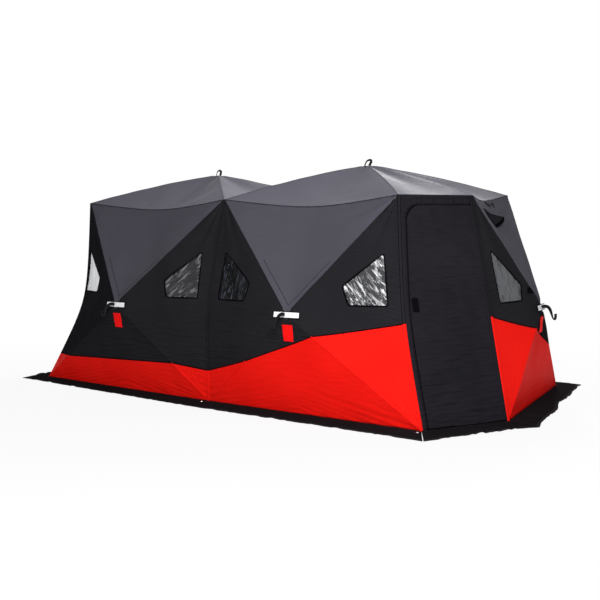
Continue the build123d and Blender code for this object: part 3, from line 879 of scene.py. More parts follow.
    def band_line(self, k: Array) -> Array:
        """Places the red band's rows: k = 0 at the foot and 1 at the band's upper edge.

        The row crosses the left panel, the bottom triangle and the right panel, with a column on each pole.

        Args:
            k: The rows' places.

        Returns:
            Rows by columns by three.
        """
        left_end, right_end = self.pole_ends()
        foot = np.array((0.0, 0.0, 1.0))
        w = np.linspace(0.0, 1.0, 36)
        sides = []
        for seam, end in ((self.left, left_end), (self.right, right_end)):
            top = mixed(seam.band_end(), foot * end, w)
            sides.append(self.on_side(seam, mixed(foot, top[None], k[:, None])))
        u = np.linspace(0.0, 1.0, 90)
        low = np.stack((1 - u, u), axis=-1)
        high = np.stack((left_end * (1 - u), right_end * u), axis=-1)
        row = self.on_lower(mixed(low[None], high[None], k[:, None]))
        return np.concatenate((sides[0][:, :-1], row, sides[1][:, -2::-1]), axis=1)

    def band_cloth(self) -> Surface:
        """Makes the red band along the foot of the wall."""
        return self.net(self.band_line(np.linspace(0.0, 1.0, 40)))

    def dress(self) -> None:
        """Puts the wall's cloth, windows and seam tapes in place."""
        place = "end" if self.name.endswith("_end") else self.name.split("_")[0]
        held = (Held.STRETCHED, (f"{place}_poles",))
        for cloth, part, finish, node in (
                (self.upper_cloth(), "grey_triangle", GREY_CLOTH, f"{self.name}_upper_panel"),
                (self.lower_cloth(), "bottom_triangle", BLACK_CLOTH, "lower_panels"),
                (self.band_cloth(), "red_foot", RED_CLOTH, f"{self.name}_red_band")):
            put_sheet(cloth, f"{self.name}_{part}", finish, *held, nodes=(node,))
        for side, seam, end in zip(("left", "right"), (self.left, self.right), self.pole_ends()):
            put_sheet(self.side_cloth(seam, end), f"{self.name}_{side}_side", BLACK_CLOTH, *held,
                      nodes=(f"{self.name}_side_panels",))
            WindowCut(self, seam).dress(f"{self.name}_{side}")
        self.dress_seams()

    def dress_seams(self) -> None:
        """Puts felled seams over the pole ridges, tapes the eave and the band, and stitches the tip."""
        share = np.linspace(0.05, 1.0, 80)
        tips = [self.on_upper(np.full_like(share, end), share) for end in (0.0, 1.0)]
        black, red = [], []
        for number, end in enumerate(self.pole_ends()):
            for seams, low, high in ((black, 0.05, end), (red, end, 1.0)):
                shares = np.zeros((80, 2))
                shares[:, number] = np.linspace(low, high, 80)
                seams.append(self.on_lower(shares))
        for name, finish, ridges in (("upper", BLACK_CLOTH, tips), ("lower", BLACK_CLOTH, black),
                                     ("red", RED_CLOTH, red)):
            felled = [banded(ridge, self.axis, self.felled_width, 0.0016) for ridge in ridges]
            put(Surface.joined(felled), f"{self.name}_{name}_felled_seams", finish)
        u = np.linspace(0.0, 1.0, 120)
        eave = self.on_upper(u, np.ones_like(u))
        # the dark eave tape is partly painted shade, the line of shadow under the roof's edge
        put(banded(eave, self.axis + UP * 0.9, self.tape_width, 0.0025), f"{self.name}_eave_tape", EAVE_TAPE)
        edge = self.band_line(np.ones(1))[0]
        put(banded(edge, self.axis, self.tape_width, 0.0014), f"{self.name}_band_tape", BINDING)
        rho = np.linspace(2 * self.tip_inset, self.tip_reach, 80)
        inset = self.tip_inset / rho
        stitching = [banded(self.on_upper(u, rho), self.axis, self.stitch_width, 0.0012)
                     for u in (inset, 1 - inset)]
        put(Surface.joined(stitching), f"{self.name}_tip_stitching", EAVE_TAPE)


@dataclass
class WindowCut:
    """A window in the upper half of a side panel, in the flat of that facet."""

    wall: HubWall
    seam: Seam
    bound: float = 0.015
    bound_height: float = 0.0022
    seat: float = 0.004
    crease_base: float = 0.003
    crease_height: float = 0.0058
    wave_height: float = 0.0028

    def __post_init__(self) -> None:
        """Lays the facet flat: the seam's middle at nought, the hub along the first axis."""
        wall, seam = self.wall, self.seam
        first = unit(wall.hub - seam.middle)
        second = seam.top - seam.middle
        second = unit(second - first * (second @ first))
        anchors = np.array((seam.top, seam.middle, wall.hub)) - seam.middle
        self.anchors = np.stack((anchors @ first, anchors @ second), axis=-1)
        side = int(seam is wall.right)
        self.streak = np.radians(wall.streaks[side])
        self.finish = wall.panes[side]
        corners = np.array(wall.window_shares[side])[:, (2, 0, 1)] @ self.anchors
        self.middle = corners.mean(axis=0)
        edges = np.roll(corners, -1, axis=0) - corners
        outward = unit(np.stack((edges[:, 1], -edges[:, 0]), axis=-1))
        reach = ((corners - self.middle) * outward).sum(axis=-1)
        self.turns = np.arctan2(outward[:, 1] * np.sign(reach), outward[:, 0] * np.sign(reach))
        self.reaches = np.abs(reach)

    def to_flat(self, shares: Array) -> Array:
        """Lays points of the upper facet flat."""
        rest = 1 - shares[..., 0] - shares[..., 1]
        return np.stack((shares[..., 0], shares[..., 1], rest), axis=-1) @ self.anchors

    def to_shares(self, flat: Array) -> Array:
        """Gives points of the flat as shares of the seam's top, middle and foot."""
        parts = flat @ np.linalg.inv(self.anchors[[0, 2]])
        return np.stack((parts[..., 0], 1 - parts.sum(axis=-1), np.zeros_like(parts[..., 0])), axis=-1)

    def outline(self, angle: Array, grow: Array | float, share: Array | float = 1.0) -> Array:
        """Follows the window's edge round its middle.

        The radius is the rounded polygon (sum of max(cos(angle - turn) / reach, 0)^n)^(-1/n).

        Args:
            angle: Angles round the middle.
            grow: How far outside the edge the points lie.
            share: The share of the way from the middle to the edge.

        Returns:
            Points of the flat.
        """
        facing = np.maximum(np.cos(angle[..., None] - self.turns) / self.reaches, 0.0)
        radius = ((facing**ROUNDING_POWER).sum(axis=-1)) ** (-1 / ROUNDING_POWER)
        radius = (radius + grow) * share
        return self.middle + radius[..., None] * around(angle)

    def dress(self, name: str) -> None:
        """Puts in the pane and the binding sewn round it.

        The pane is crossed by creases, a height less the size of drawn-out waves, which die out at its edge.
        The binding is a low rounded band, h(1 - q²) high across its width.

        Args:
            name: The wall and side that the window is in.
        """
        wall, seam = self.wall, self.seam
        seed = wall.seed * 2 + (seam is wall.right)
        angle = np.linspace(0.0, 2 * np.pi, 133)[:-1]
        ring, turn = np.meshgrid(np.linspace(0.0, 1.0, 38), angle, indexing="ij")
        flat = self.outline(turn, self.bound * 0.6, ring)
        way = around(self.streak)
        square = np.array((-way[1], way[0]))
        drawn = np.stack(((flat - self.middle) @ way, (flat - self.middle) @ square), axis=-1)
        creases = Ripple(seed, self.crease_height, 0.05, 0.10, (5.0, 1.0), 9).at(drawn)
        creased = self.crease_base - np.abs(creases)
        broad = Ripple(seed + 50, self.wave_height, 0.16, 0.4).at(flat)
        points = wall.on_side(seam, self.to_shares(flat), (creased + broad) * (1 - ring**8) - self.seat)
        put(Surface.from_grid(points, drawn, closed=True).facing(wall.centre), f"{name}_pane", self.finish,
            thickness=0.001, nodes=("window_panes",))
        q = np.linspace(-1.0, 1.0, 7)
        grow = np.concatenate((q, q[::-3])) * self.bound / 2 + 0.003
        rise = np.concatenate((self.bound_height * (1 - q * q) + 0.0004, np.full(3, -0.002)))
        turn, grow = np.meshgrid(angle, grow, indexing="ij")
        flat = self.outline(turn, grow)
        points = wall.on_side(seam, self.to_shares(flat), np.broadcast_to(rise, grow.shape))
        points, flat = (np.concatenate((grid, grid[:1])) for grid in (points, flat))
        put(Surface.from_grid(points, flat, closed=True).sealed(), f"{name}_window_binding", BINDING)


@dataclass
class Roof:
    """A dome of cloth over one half: five gores between bowed poles, from the roof hub to the eaves."""

    name: str
    hub: Array
    corners: Array
    eaves: Array
    centre: Array
    seed: int
    nose: float = 0.012
    wave_height: float = 0.0018
    pole_bow: float = 0.022
    gore_sag: float = 0.012
    tape_width: float = 0.012
    columns: int = 64

    def on_gores(self, gore: Array, psi: Array, rho: Array) -> Array:
        """Places points of the dome.

        The point is hub + rho (rim - hub), raised by 4 rho (1 - rho)(bow cos²(pi psi) - sag sin²(pi psi)),
        with broad waves, and flattened under the hub's plate.

        Args:
            gore: The number of each point's gore.
            psi: The share of the way from the gore's first pole to its second.
            rho: The share of the way from the hub to the eave.

        Returns:
            The points.
        """
        turned = np.roll(self.corners, -1, axis=0)
        rim = bowed(self.corners[gore], self.eaves[gore], turned[gore], 2 * psi - 1, EAVE_SOFTNESS)
        points = self.hub + (rim - self.hub) * rho[..., None]
        raised = 4 * rho * (1 - rho) * (self.pole_bow * np.cos(np.pi * psi) ** 2
                                        - self.gore_sag * np.sin(np.pi * psi) ** 2)
        waves = Ripple(self.seed, self.wave_height, 0.25, 0.7).at(points[..., :2])
        waves = waves * smooth_step(0.0, 0.1, 1 - rho)
        sunk = flattened(self.nose, (self.hub - points)[..., 2])
        return points + UP * (raised + waves * smooth_step(0.0, 0.1, rho) - sunk)[..., None]

    def cloth(self) -> Surface:
        """Makes the dome as one continuous sheet.

        Returns:
            The dome's net.
        """
        step = np.arange(len(self.corners) * self.columns)
        rho, step = np.meshgrid(np.linspace(NOSE_SHARE, 1.0, 60), step, indexing="ij")
        points = self.on_gores(step // self.columns, (step % self.columns) / self.columns, rho)
        return Surface.from_grid(points, points[..., :2], closed=True).facing(self.centre)

    def dress(self) -> None:
        """Puts the dome and its ridge tapes in place."""
        put_sheet(self.cloth(), f"{self.name}_dome", ROOF_CLOTH, Held.STRETCHED, ("roof_poles",),
                  nodes=(self.name,))
        rho = np.linspace(0.04, 1.0, 90)
        gores = np.repeat(np.arange(len(self.corners))[:, None], len(rho), axis=1)
        ridges = self.on_gores(gores, np.zeros(gores.shape), np.broadcast_to(rho, gores.shape))
        tapes = [banded(ridge, UP, self.tape_width, 0.0018) for ridge in ridges]
        put(Surface.joined(tapes), f"{self.name}_ridge_tapes", ROOF_CLOTH)


@dataclass
class DoorWall:
    """A flat doorway across a corner: a zipped flap, the cloth round it and the flap that covers the zip."""

    name: str
    near: Seam
    far: Seam
    centre: Array
    body: Body
    seed: int
    turned: bool = False
    tab_place: tuple[float, float] = (0.098, 0.932)
    tab_size: tuple[float, float] = (0.054, 0.106)
    jamb: float = 0.066
    header: float = 0.082
    hinge_strip: float = 0.0323
    corner: float = 0.130
    clearance: float = 0.005
    hinge_clearance: float = 0.0043
    sill: float = 0.009
    edge_rest: float = 0.12
    fold_height: float = 0.0028
    broad_height: float = 0.0016
    fall_height: float = 0.009
    fall_width: float = 0.045
    fall_place: tuple[float, float] = (0.42, 1.42)
    welt_inset: float = 0.029
    welt_width: float = 0.014

    def __post_init__(self) -> None:
        """Lays out the doorway's plane: across from the near seam to the hinge, and up its slope."""
        self.across = unit(self.far.foot - self.near.foot)
        self.slope = self.near.top - self.near.foot
        self.slope = unit(self.slope - self.across * (self.slope @ self.across))
        self.outward = np.cross(self.across, self.slope)
        self.height = float((self.near.top - self.near.foot) @ self.slope)
        self.flap_top = self.height - self.header

    def placed(self, x: Array, y: Array, z: Array | float = 0.0) -> Array:
        """Places points given across, up and out of the doorway's plane."""
        x, y, z = np.broadcast_arrays(x, y, z)
        return (self.near.foot + self.across * x[..., None] + self.slope * y[..., None]
                + self.outward * z[..., None])

    def net(self, x: Array, y: Array, z: Array | float = 0.0) -> Surface:
        """Joins a grid of the doorway's points into cloth that faces outwards."""
        flat = np.stack(np.broadcast_arrays(x, y), axis=-1)
        return Surface.from_grid(self.placed(x, y, z), flat).facing(self.centre)

    def near_line(self, y: Array) -> Array:
        """Follows the near seam.

        Args:
            y: Heights up the doorway's slope.

        Returns:
            How far across the seam lies at each height.
        """
        t = np.linspace(-1.0, 1.0, 81)
        line = self.near.at(t) - self.near.foot
        return np.interp(y, (line @ self.slope)[::-1], (line @ self.across)[::-1])

    def far_line(self, y: Array) -> Array:
        """Follows the hinge side's seam: how far across it lies at a height."""
        foot, top = (point - self.near.foot for point in (self.far.foot, self.far.top))
        return mixed(np.array([foot @ self.across]), np.array([top @ self.across]), y / self.height)[..., 0]

    def zip_line(self, y: Array) -> Array:
        """Gives how far across the flap's zipped edge lies, its top corner a quarter circle."""
        over = np.clip((y - (self.flap_top - self.corner)) / self.corner, 0.0, 1.0)
        return self.near_line(y) + self.jamb + self.corner * (1 - np.sqrt(1 - over * over))

    def flap_cloth(self) -> Surface:
        """Makes the flap's cloth, with slack folds across it.

        Each row goes straight from the zipped edge to the hinge edge. Folds are waves drawn out across the
        door, and one broad fold, exp(-d²) over a slanting line, falls from the top of the hinge side.

        Returns:
            The flap's net.
        """
        y = np.concatenate((np.linspace(self.sill, self.flap_top - self.corner, 210),
                            self.flap_top - self.corner * (1 - np.sin(np.linspace(0.06, np.pi / 2, 18)))))
        left = self.zip_line(y)
        right = self.far_line(y) - self.hinge_strip
        u = np.linspace(0.0, 1.0, 60)
        x = left[:, None] + (right - left)[:, None] * u
        y = np.broadcast_to(y[:, None], x.shape)
        flat = np.stack((x, y), axis=-1)
        rest = self.edge_rest
        edge = smooth_step(0.0, rest, u) * smooth_step(0.0, rest, 1 - u)
        edge = edge * smooth_step(0.0, rest, y - self.sill) * smooth_step(0.0, 0.10, self.flap_top - y)
        folds = Ripple(self.seed, self.fold_height, 0.030, 0.085, (4.0, 1.0), 20).at(flat)
        broad = Ripple(self.seed + 7, self.broad_height, 0.3, 0.7).at(flat)
        slant = ((x - self.fall_place[0]) * 0.45 + (y - self.fall_place[1]) * 0.9) / self.fall_width
        fall = self.fall_height * np.exp(-slant**2) * smooth_step(0.1, 0.55, x)
        return self.net(x, y, edge * (folds + broad + fall))

    def zip_jamb_cloth(self) -> Surface:
        """Makes the strip beside the zip, straight from the near seam to the doorway's edge.

        Returns:
            The strip's net.
        """
        y = np.linspace(0.0, self.flap_top - self.corner, 90)
        x = self.near_line(y)[:, None] + (self.jamb - self.clearance) * np.linspace(0.0, 1.0, 8)
        return self.net(x, y[:, None])

    def header_cloth(self) -> Surface:
        """Makes the cloth over the doorway, straight from its arch to the near seam's top and the eave.

        Returns:
            The header's net.
        """
        reach = self.far_line(np.array([self.flap_top]))[0] - self.hinge_strip
        grow = self.corner + self.clearance
        turn = np.linspace(np.pi, np.pi / 2, 24)
        base = self.flap_top - self.corner
        mid = self.near_line(np.array([base]))[0] + self.jamb + self.corner
        level = np.linspace(mid, reach, 42)[1:]
        arch = np.concatenate((np.array((mid, base)) + grow * around(turn),
                               np.stack((level, np.full_like(level, base + grow)), axis=-1)))
        run = np.linspace(0.0, 1.0, len(arch))
        knee = len(turn) / len(arch)
        side = np.clip(run / knee, 0.0, 1.0)
        height = base + (self.height - base) * side
        along = np.clip((run - knee) / (1 - knee), 0.0, 1.0)
        near_top = self.near_line(np.array([self.height]))[0]
        rim = np.stack((np.where(run < knee, self.near_line(height), near_top + (reach - near_top) * along),
                        height), axis=-1)
        grid = mixed(arch[None], rim[None], np.linspace(0.0, 1.0, 8)[:, None])
        return self.net(grid[..., 0], grid[..., 1])

    def hinge_jamb_cloth(self) -> Surface:
        """Makes the strip that the flap is sewn to, one width along the far seam.

        Returns:
            The strip's net.
        """
        y = np.linspace(0.0, self.height, 110)
        width = self.hinge_strip - self.hinge_clearance
        x = (self.far_line(y) - width)[:, None] + width * np.linspace(0.0, 1.0, 5)
        return self.net(x, y[:, None])

    def zip_path(self, inset: float) -> Array:
        """Follows the doorway's edge up the near side, round the corner and along the top.

        Args:
            inset: How far outside the flap's edge the line lies.

        Returns:
            Points across and up the doorway.
        """
        y = np.linspace(0.0, self.flap_top - self.corner, 80)
        side = np.stack((self.near_line(y) + self.jamb - inset, y), axis=-1)
        turn = np.linspace(np.pi, np.pi / 2, 22)[1:]
        middle = np.array((self.near_line(y[-1:])[0] + self.jamb + self.corner, y[-1]))
        bend = middle + (self.corner + inset) * around(turn)
        end = self.far_line(bend[-1:, 1])[0] - self.hinge_strip
        top = np.stack((np.linspace(bend[-1, 0], end, 50)[1:], np.full(49, bend[-1, 1])), axis=-1)
        return np.concatenate((side, bend, top))

    def dress(self) -> None:
        """Puts the flap, the surround, the zip and its cover in place."""
        for part, cloth in (("zip_jamb", self.zip_jamb_cloth()), ("header", self.header_cloth()),
                            ("hinge_jamb", self.hinge_jamb_cloth())):
            node = "rear_door_surround" if self.turned else f"door_{part}"
            put_sheet(cloth, f"{self.name}_{part}_cloth", DOOR_CLOTH, Held.STRETCHED, ("end_poles",),
                      nodes=(node,))
        put_sheet(self.flap_cloth(), f"{self.name}_cloth", DOOR_CLOTH, Held.HUNG,
                  (f"{self.name}_hinge_jamb_cloth",), body=self.body, thickness=0.004,
                  nodes=(f"{self.name}_flap",))
        for part, finish, inset, width, height, sink in (
                ("zip_cover", DOOR_CLOTH, 0.034, 0.050, 0.0085, 0.002),
                ("zip_tape", BINDING, 0.004, 0.030, -0.0015, 0.004),
                ("zip_coil", BINDING, 0.0025, 0.006, 0.002, 0.003)):
            path = self.placed(*self.zip_path(inset).T)
            put(banded(path, self.outward, width, height, sink), f"{self.name}_{part}", finish)
        y = np.linspace(self.sill, self.flap_top, 90)
        welt = self.placed(self.far_line(y) - self.welt_inset, y)
        put(banded(welt, self.outward, self.welt_width, 0.0045, 0.005), f"{self.name}_welt", DOOR_CLOTH)
        self.dress_tab()

    def dress_tab(self) -> None:
        """Sews a dark tab on the flap beside the zip, a rounded pad |x/a|^n + |y/b|^n = 1."""
        outline = superellipse(np.linspace(0.0, 2 * np.pi, 73)[:-1], 10.0)
        share = np.array((0.0, 0.6, 0.95, 1.0, 1.0, 0.0))
        level = np.array((0.007, 0.007, 0.0068, 0.005, 0.001, 0.001))
        flat = self.tab_place + outline * np.array(self.tab_size) / 2 * share[:, None, None]
        points = self.placed(flat[..., 0], flat[..., 1], level[:, None])
        put(Surface.from_grid(points, flat, closed=True).sealed(), f"{self.name}_tab", BINDING, self.body)


@dataclass
class Skirt:
    """The skirt that lies flat round the hut, mitred at the corners and slit beside the doors."""

    feet: Array
    width: float = 0.250
    lap: float = 0.014
    slit: float = 0.010
    corner_share: float = 0.8
    thickness: float = 0.003
    hem: float = 0.026
    column: float = 0.022
    eyelet_radius: float = 0.010
    eyelet_tube: float = 0.0035
    eyelet_out: float = 0.055
    eyelet_back: float = 0.035

    def mitres(self) -> tuple[Array, Array]:
        """Works out how the skirt runs round the corners.

        Returns:
            Each foot line's direction, and each corner's mitre, one unit out from both of its foot lines.
        """
        along = unit(np.roll(self.feet, -1, axis=0) - self.feet)
        square = np.stack((along[:, 1], -along[:, 0], np.zeros(len(along))), axis=-1)
        before = np.roll(square, 1, axis=0)
        return along, (before + square) / (1 + (before * square).sum(axis=-1, keepdims=True))

    def section(self, corners: tuple[int, ...], wave: float, uneven: float,
                slits: tuple[float, float]) -> tuple[Surface, Surface]:
        """Makes one section: straight from the wall's foot to the hem, with low waves that grow outwards.

        The hem is a band along the outer edge, where the cloth is turned over and sewn; its lighter cloth is
        partly painted light for the lit outer edge.

        Args:
            corners: The numbers of the foot corners that it runs past.
            wave: The height of its waves.
            uneven: How far its outer edge strays.
            slits: The gaps at its first and last corner.

        Returns:
            The section's net and its hem's.
        """
        along, mitres = self.mitres()
        index = np.array(corners) % len(self.feet)
        reach = np.where(index % 4 == 0, self.corner_share, 1.0)[:, None] * self.width
        inner = self.feet[index] - mitres[index] * self.lap
        outer = self.feet[index] + mitres[index] * reach
        for line, gaps in ((inner, (0.0003, 0.0003)), (outer, slits)):
            line[0] += along[index[0]] * gaps[0]
            line[-1] -= along[index[-2]] * gaps[1]
        lengths = np.linalg.norm(np.diff(self.feet[index], axis=0), axis=1)
        run = np.concatenate(([0.0], np.cumsum(lengths)))
        count = max(int(run[-1] / self.column), 8)
        s = np.unique(np.concatenate((np.linspace(0.0, run[-1], count), run)))
        lines = [np.stack([np.interp(s, run, line[:, axis]) for axis in (0, 1)], axis=-1)
                 for line in (inner, outer)]
        level = np.stack((s, np.zeros_like(s)), axis=-1)
        stray = Ripple(corners[0] + 61, uneven, 0.34, 0.9, waves=6).at(level)
        inner_share = smooth_step(0.0, 0.16, s) * smooth_step(0.0, 0.16, run[-1] - s)
        lines[1] = lines[1] + unit(lines[1] - lines[0]) * ((stray - uneven) * inner_share)[:, None]
        r = np.linspace(0.0, 1.0, 22)
        spread = mixed(lines[0][None], lines[1][None], r[:, None])
        flat = np.stack(np.broadcast_arrays(s[None], r[:, None] * self.width), axis=-1)
        waves = Ripple(corners[0] + 31, wave, 0.07, 0.30, (1.0, 2.5)).at(flat)
        lifted = self.thickness + 0.001 + np.abs(waves) * smooth_step(0.05, 0.6, r)[:, None] * inner_share
        lifted = lifted + 0.004 * np.exp(-r / 0.10)[:, None]
        points = np.concatenate((spread, lifted[..., None]), axis=-1)
        below = np.array((0.0, 0.0, -50.0))
        inset = 0.6 * self.hem / self.width
        edge = mixed(points[-2], points[-1], np.full(len(s), 1 - inset * (len(r) - 1)))
        return Surface.from_grid(points, flat).facing(below), banded(edge, UP, self.hem, 0.0016)

    def dress(self) -> None:
        """Lays out each section with its turned hem, and the eyelets."""
        wide, shut = self.slit / 2, 0.0005
        for name, corners, node, wall, wave, uneven, slits in (
                ("front_hem", (0, 1, 2), "front_skirt", "front_right_red_foot", 0.0022, 0.0, (wide, wide)),
                ("right_door_hem", (2, 3), "right_skirt", "right_end_red_foot", 0.0060, 0.008, (wide, shut)),
                ("right_hem", (3, 4), "right_skirt", "right_end_red_foot", 0.0075, 0.012, (shut, wide)),
                ("back_hem", (4, 5, 6), "back_skirt", "back_right_red_foot", 0.0022, 0.0, (wide, wide)),
                ("left_door_hem", (6, 7), "left_skirt", "left_end_red_foot", 0.0060, 0.008, (wide, shut)),
                ("left_hem", (7, 8), "left_skirt", "left_end_red_foot", 0.0075, 0.012, (shut, wide))):
            cloth, turned = self.section(corners, wave, uneven, slits)
            put_sheet(cloth, name, SKIRT_CLOTH, Held.LAID, (wall,), thickness=self.thickness, nodes=(node,))
            # the hem's lighter cloth: the turned hem, and painted light on the skirt's lit outer edge
            put(turned, f"{name}_fold", HEM_CLOTH)
        self.dress_grommets()

    def dress_grommets(self) -> None:
        """Sets a steel eyelet in the skirt beside each middle corner and each door's near corner.

        A ring is carried round: (R + r cos b)(cos a, sin a), with the height 0.8 r sin b over the cloth.
        """
        along, mitres = self.mitres()
        a, b = np.meshgrid(*(np.linspace(0.0, 2 * np.pi, count)[:-1] for count in (33, 11)), indexing="ij")
        ring = self.eyelet_radius + self.eyelet_tube * np.cos(b)
        height = self.eyelet_tube * 0.8 * np.sin(b) + 0.0065
        shape = np.stack((ring * np.cos(a), ring * np.sin(a), height), axis=-1)
        shape = np.concatenate((shape, shape[:1]))
        places = [self.feet[corner] + mitres[corner] * self.eyelet_out - along[corner - 1] * self.eyelet_back
                  for corner in (1, 2, 5, 6)]
        eyelets = [Surface.from_grid(place + shape, shape[..., :2], closed=True).sealed()
                   for place in places]
        put(Surface.joined(eyelets), "skirt_grommets", STEEL)


@dataclass
class HubTrim:
    """What hangs on a wall's hub: a bright patch with a dark edge, a red tag and a webbing pull."""

    wall: HubWall
    patch_width: float = 0.250
    patch_height: float = 0.052
    patch_edge: float = 0.010
    patch_power: float = 40.0
    face_lift: float = 0.0043
    tag_width: float = 0.096
    tag_height: float = 0.128
    tag_drop: float = 0.078
    strap_width: float = 0.028
    strap_offset: float = 0.012
    strap_drift: float = 0.036
    strap_points: tuple = ((0.001, 0.0), (0.02, 0.004), (0.042, 0.002), (0.062, -0.012),
                           (0.073, -0.040), (0.077, -0.070), (0.079, -0.095), (0.083, -0.112),
                           (0.092, -0.119), (0.101, -0.112), (0.106, -0.098), (0.112, -0.070))

    def plate(self, x: Array, y: Array, z: Array | float) -> Array:
        """Places points over the hub's plate.

        Args:
            x: How far along the wall.
            y: How far up its slope.
            z: How far out from the plate.

        Returns:
            The points.
        """
        wall = self.wall
        x, y, z = np.broadcast_arrays(x, y, z)
        face = wall.hub - wall.axis * (wall.nose - self.face_lift)
        return face + wall.along * x[..., None] + wall.rise * y[..., None] + wall.axis * z[..., None]

    def pad(self, width: float, height: float, base: float, thick: float) -> Surface:
        """Makes a flat pad with a rounded outline and edge.

        The outline is the superellipse |x/a|^n + |y/b|^n = 1; the section over it is a rounded slab.

        Args:
            width: Its width.
            height: Its height.
            base: How far over the plate it lies.
            thick: Its thickness.

        Returns:
            The pad's closed net.
        """
        outline = superellipse(np.linspace(0.0, 2 * np.pi, 97)[:-1], self.patch_power)
        share = np.array((0.0, 0.5, 0.93, 0.985, 1.0, 1.0, 0.985, 0.0))
        level = np.array((1.0, 1.0, 1.0, 0.9, 0.6, 0.2, 0.0, 0.0))
        flat = outline * np.array((width, height)) / 2 * share[:, None, None]
        points = self.plate(flat[..., 0], flat[..., 1], (base + thick * level)[:, None])
        return Surface.from_grid(points, flat, closed=True).sealed()

    def tag_cloth(self) -> Surface:
        """Makes the red tag: a hanging rectangle with a slanting crease and soft waves.

        Over the wall it stands off by a share of y, by exp(-d²) over the crease and by y sin(7y + 2x).

        Returns:
            The tag's net.
        """
        wall = self.wall
        y, x = np.meshgrid(np.linspace(0.0, 1.0, 30), np.linspace(-1.0, 1.0, 22), indexing="ij")
        flat = np.stack((x * self.tag_width / 2, -self.tag_drop - y * self.tag_height), axis=-1)
        feet = wall.flat(np.array((wall.left.foot, wall.right.foot)))
        shares = flat @ np.linalg.inv(feet)
        fold = np.exp(-((x - 0.15 + 0.5 * y) / 0.22) ** 2) * np.sin(np.pi * y)
        lift = 0.004 + 0.005 * y + 0.004 * fold + 0.002 * np.sin(7.0 * y + 2.0 * x) * y
        points = wall.on_lower(shares, lift)
        return Surface.from_grid(points, flat).facing(wall.centre)

    def dress(self) -> None:
        """Puts the patch, its edge, the tag and the pull strap in place."""
        name, edge = self.wall.name, self.patch_edge
        width, height = self.patch_width, self.patch_height
        put(self.pad(width, height, 0.0, 0.0020), f"{name}_patch_edge", BINDING)
        put(self.pad(width - edge, height - edge, 0.0015, 0.0012), f"{name}_patch", TAPE,
            nodes=("hub_patches",))
        put_sheet(self.tag_cloth(), f"{name}_tag", TAG_CLOTH, Held.HUNG, (f"{name}_bottom_triangle",),
                  thickness=0.002, nodes=("pull_tags",))
        put(self.strap(), f"{name}_pull_strap", WEBBING, nodes=("pull_straps",))

    def strap(self) -> Surface:
        """Makes the pull: webbing that reaches out, falls and turns up in a hook, its face turning too.

        Its line goes straight between a few points, rounded by a bell-shaped running mean.

        Returns:
            The strap's closed net.
        """
        corners = np.array(self.strap_points)
        t = np.linspace(0.0, 1.0, 70)
        knots = np.linspace(0.0, 1.0, len(corners))
        bell = np.hanning(11) / np.hanning(11).sum()
        reach, fall = (np.convolve(np.pad(np.interp(t, knots, line), 5, mode="edge"), bell, mode="valid")
                       for line in corners.T)
        drift = -self.strap_offset - self.strap_drift * smooth_step(0.05, 0.6, t)
        points = self.plate(drift, fall, 0.003 + reach)
        tangent = unit(np.gradient(points, axis=0))
        square = np.cross(np.broadcast_to(self.wall.along, tangent.shape), tangent)
        twist = (-1.35 + 0.75 * smooth_step(0.25, 0.6, t))[:, None]
        normals = square * np.cos(twist) + self.wall.along * np.sin(twist)
        return banded(points, normals, self.strap_width, 0.0026, 0.0020)


@dataclass
class RoofLoop:
    """A loop of webbing that stands on a roof hub, twisted and flopped to one side."""

    name: str
    foot: Array
    flop: float
    span: float = 0.078
    height: float = 0.052
    width: float = 0.022
    twist: float = 1.0

    def dress(self) -> None:
        """Carries the webbing round an upturned U, x = a cos t and z = b sin t, its feet on the plate.

        The loop leans sideways by flop z, and its face is turned out of its plane by the twist.
        """
        t = np.linspace(0.0, np.pi, 70)
        z = self.height * np.sin(t) ** 0.8
        x = np.cos(t) * self.span / 2 * (0.62 + 0.38 * np.sin(t)) + self.flop * z
        points = self.foot + np.stack((x, 0.10 * z, z + 0.002), axis=-1)
        tangent = unit(np.gradient(points, axis=0))
        across = np.array((0.0, -1.0, 0.0))
        radial = np.cross(tangent, np.broadcast_to(across, tangent.shape))
        normals = radial * np.cos(self.twist) + across * np.sin(self.twist)
        put(banded(points, normals, self.width, 0.0022, 0.0020), self.name, WEBBING, nodes=("roof_straps",))


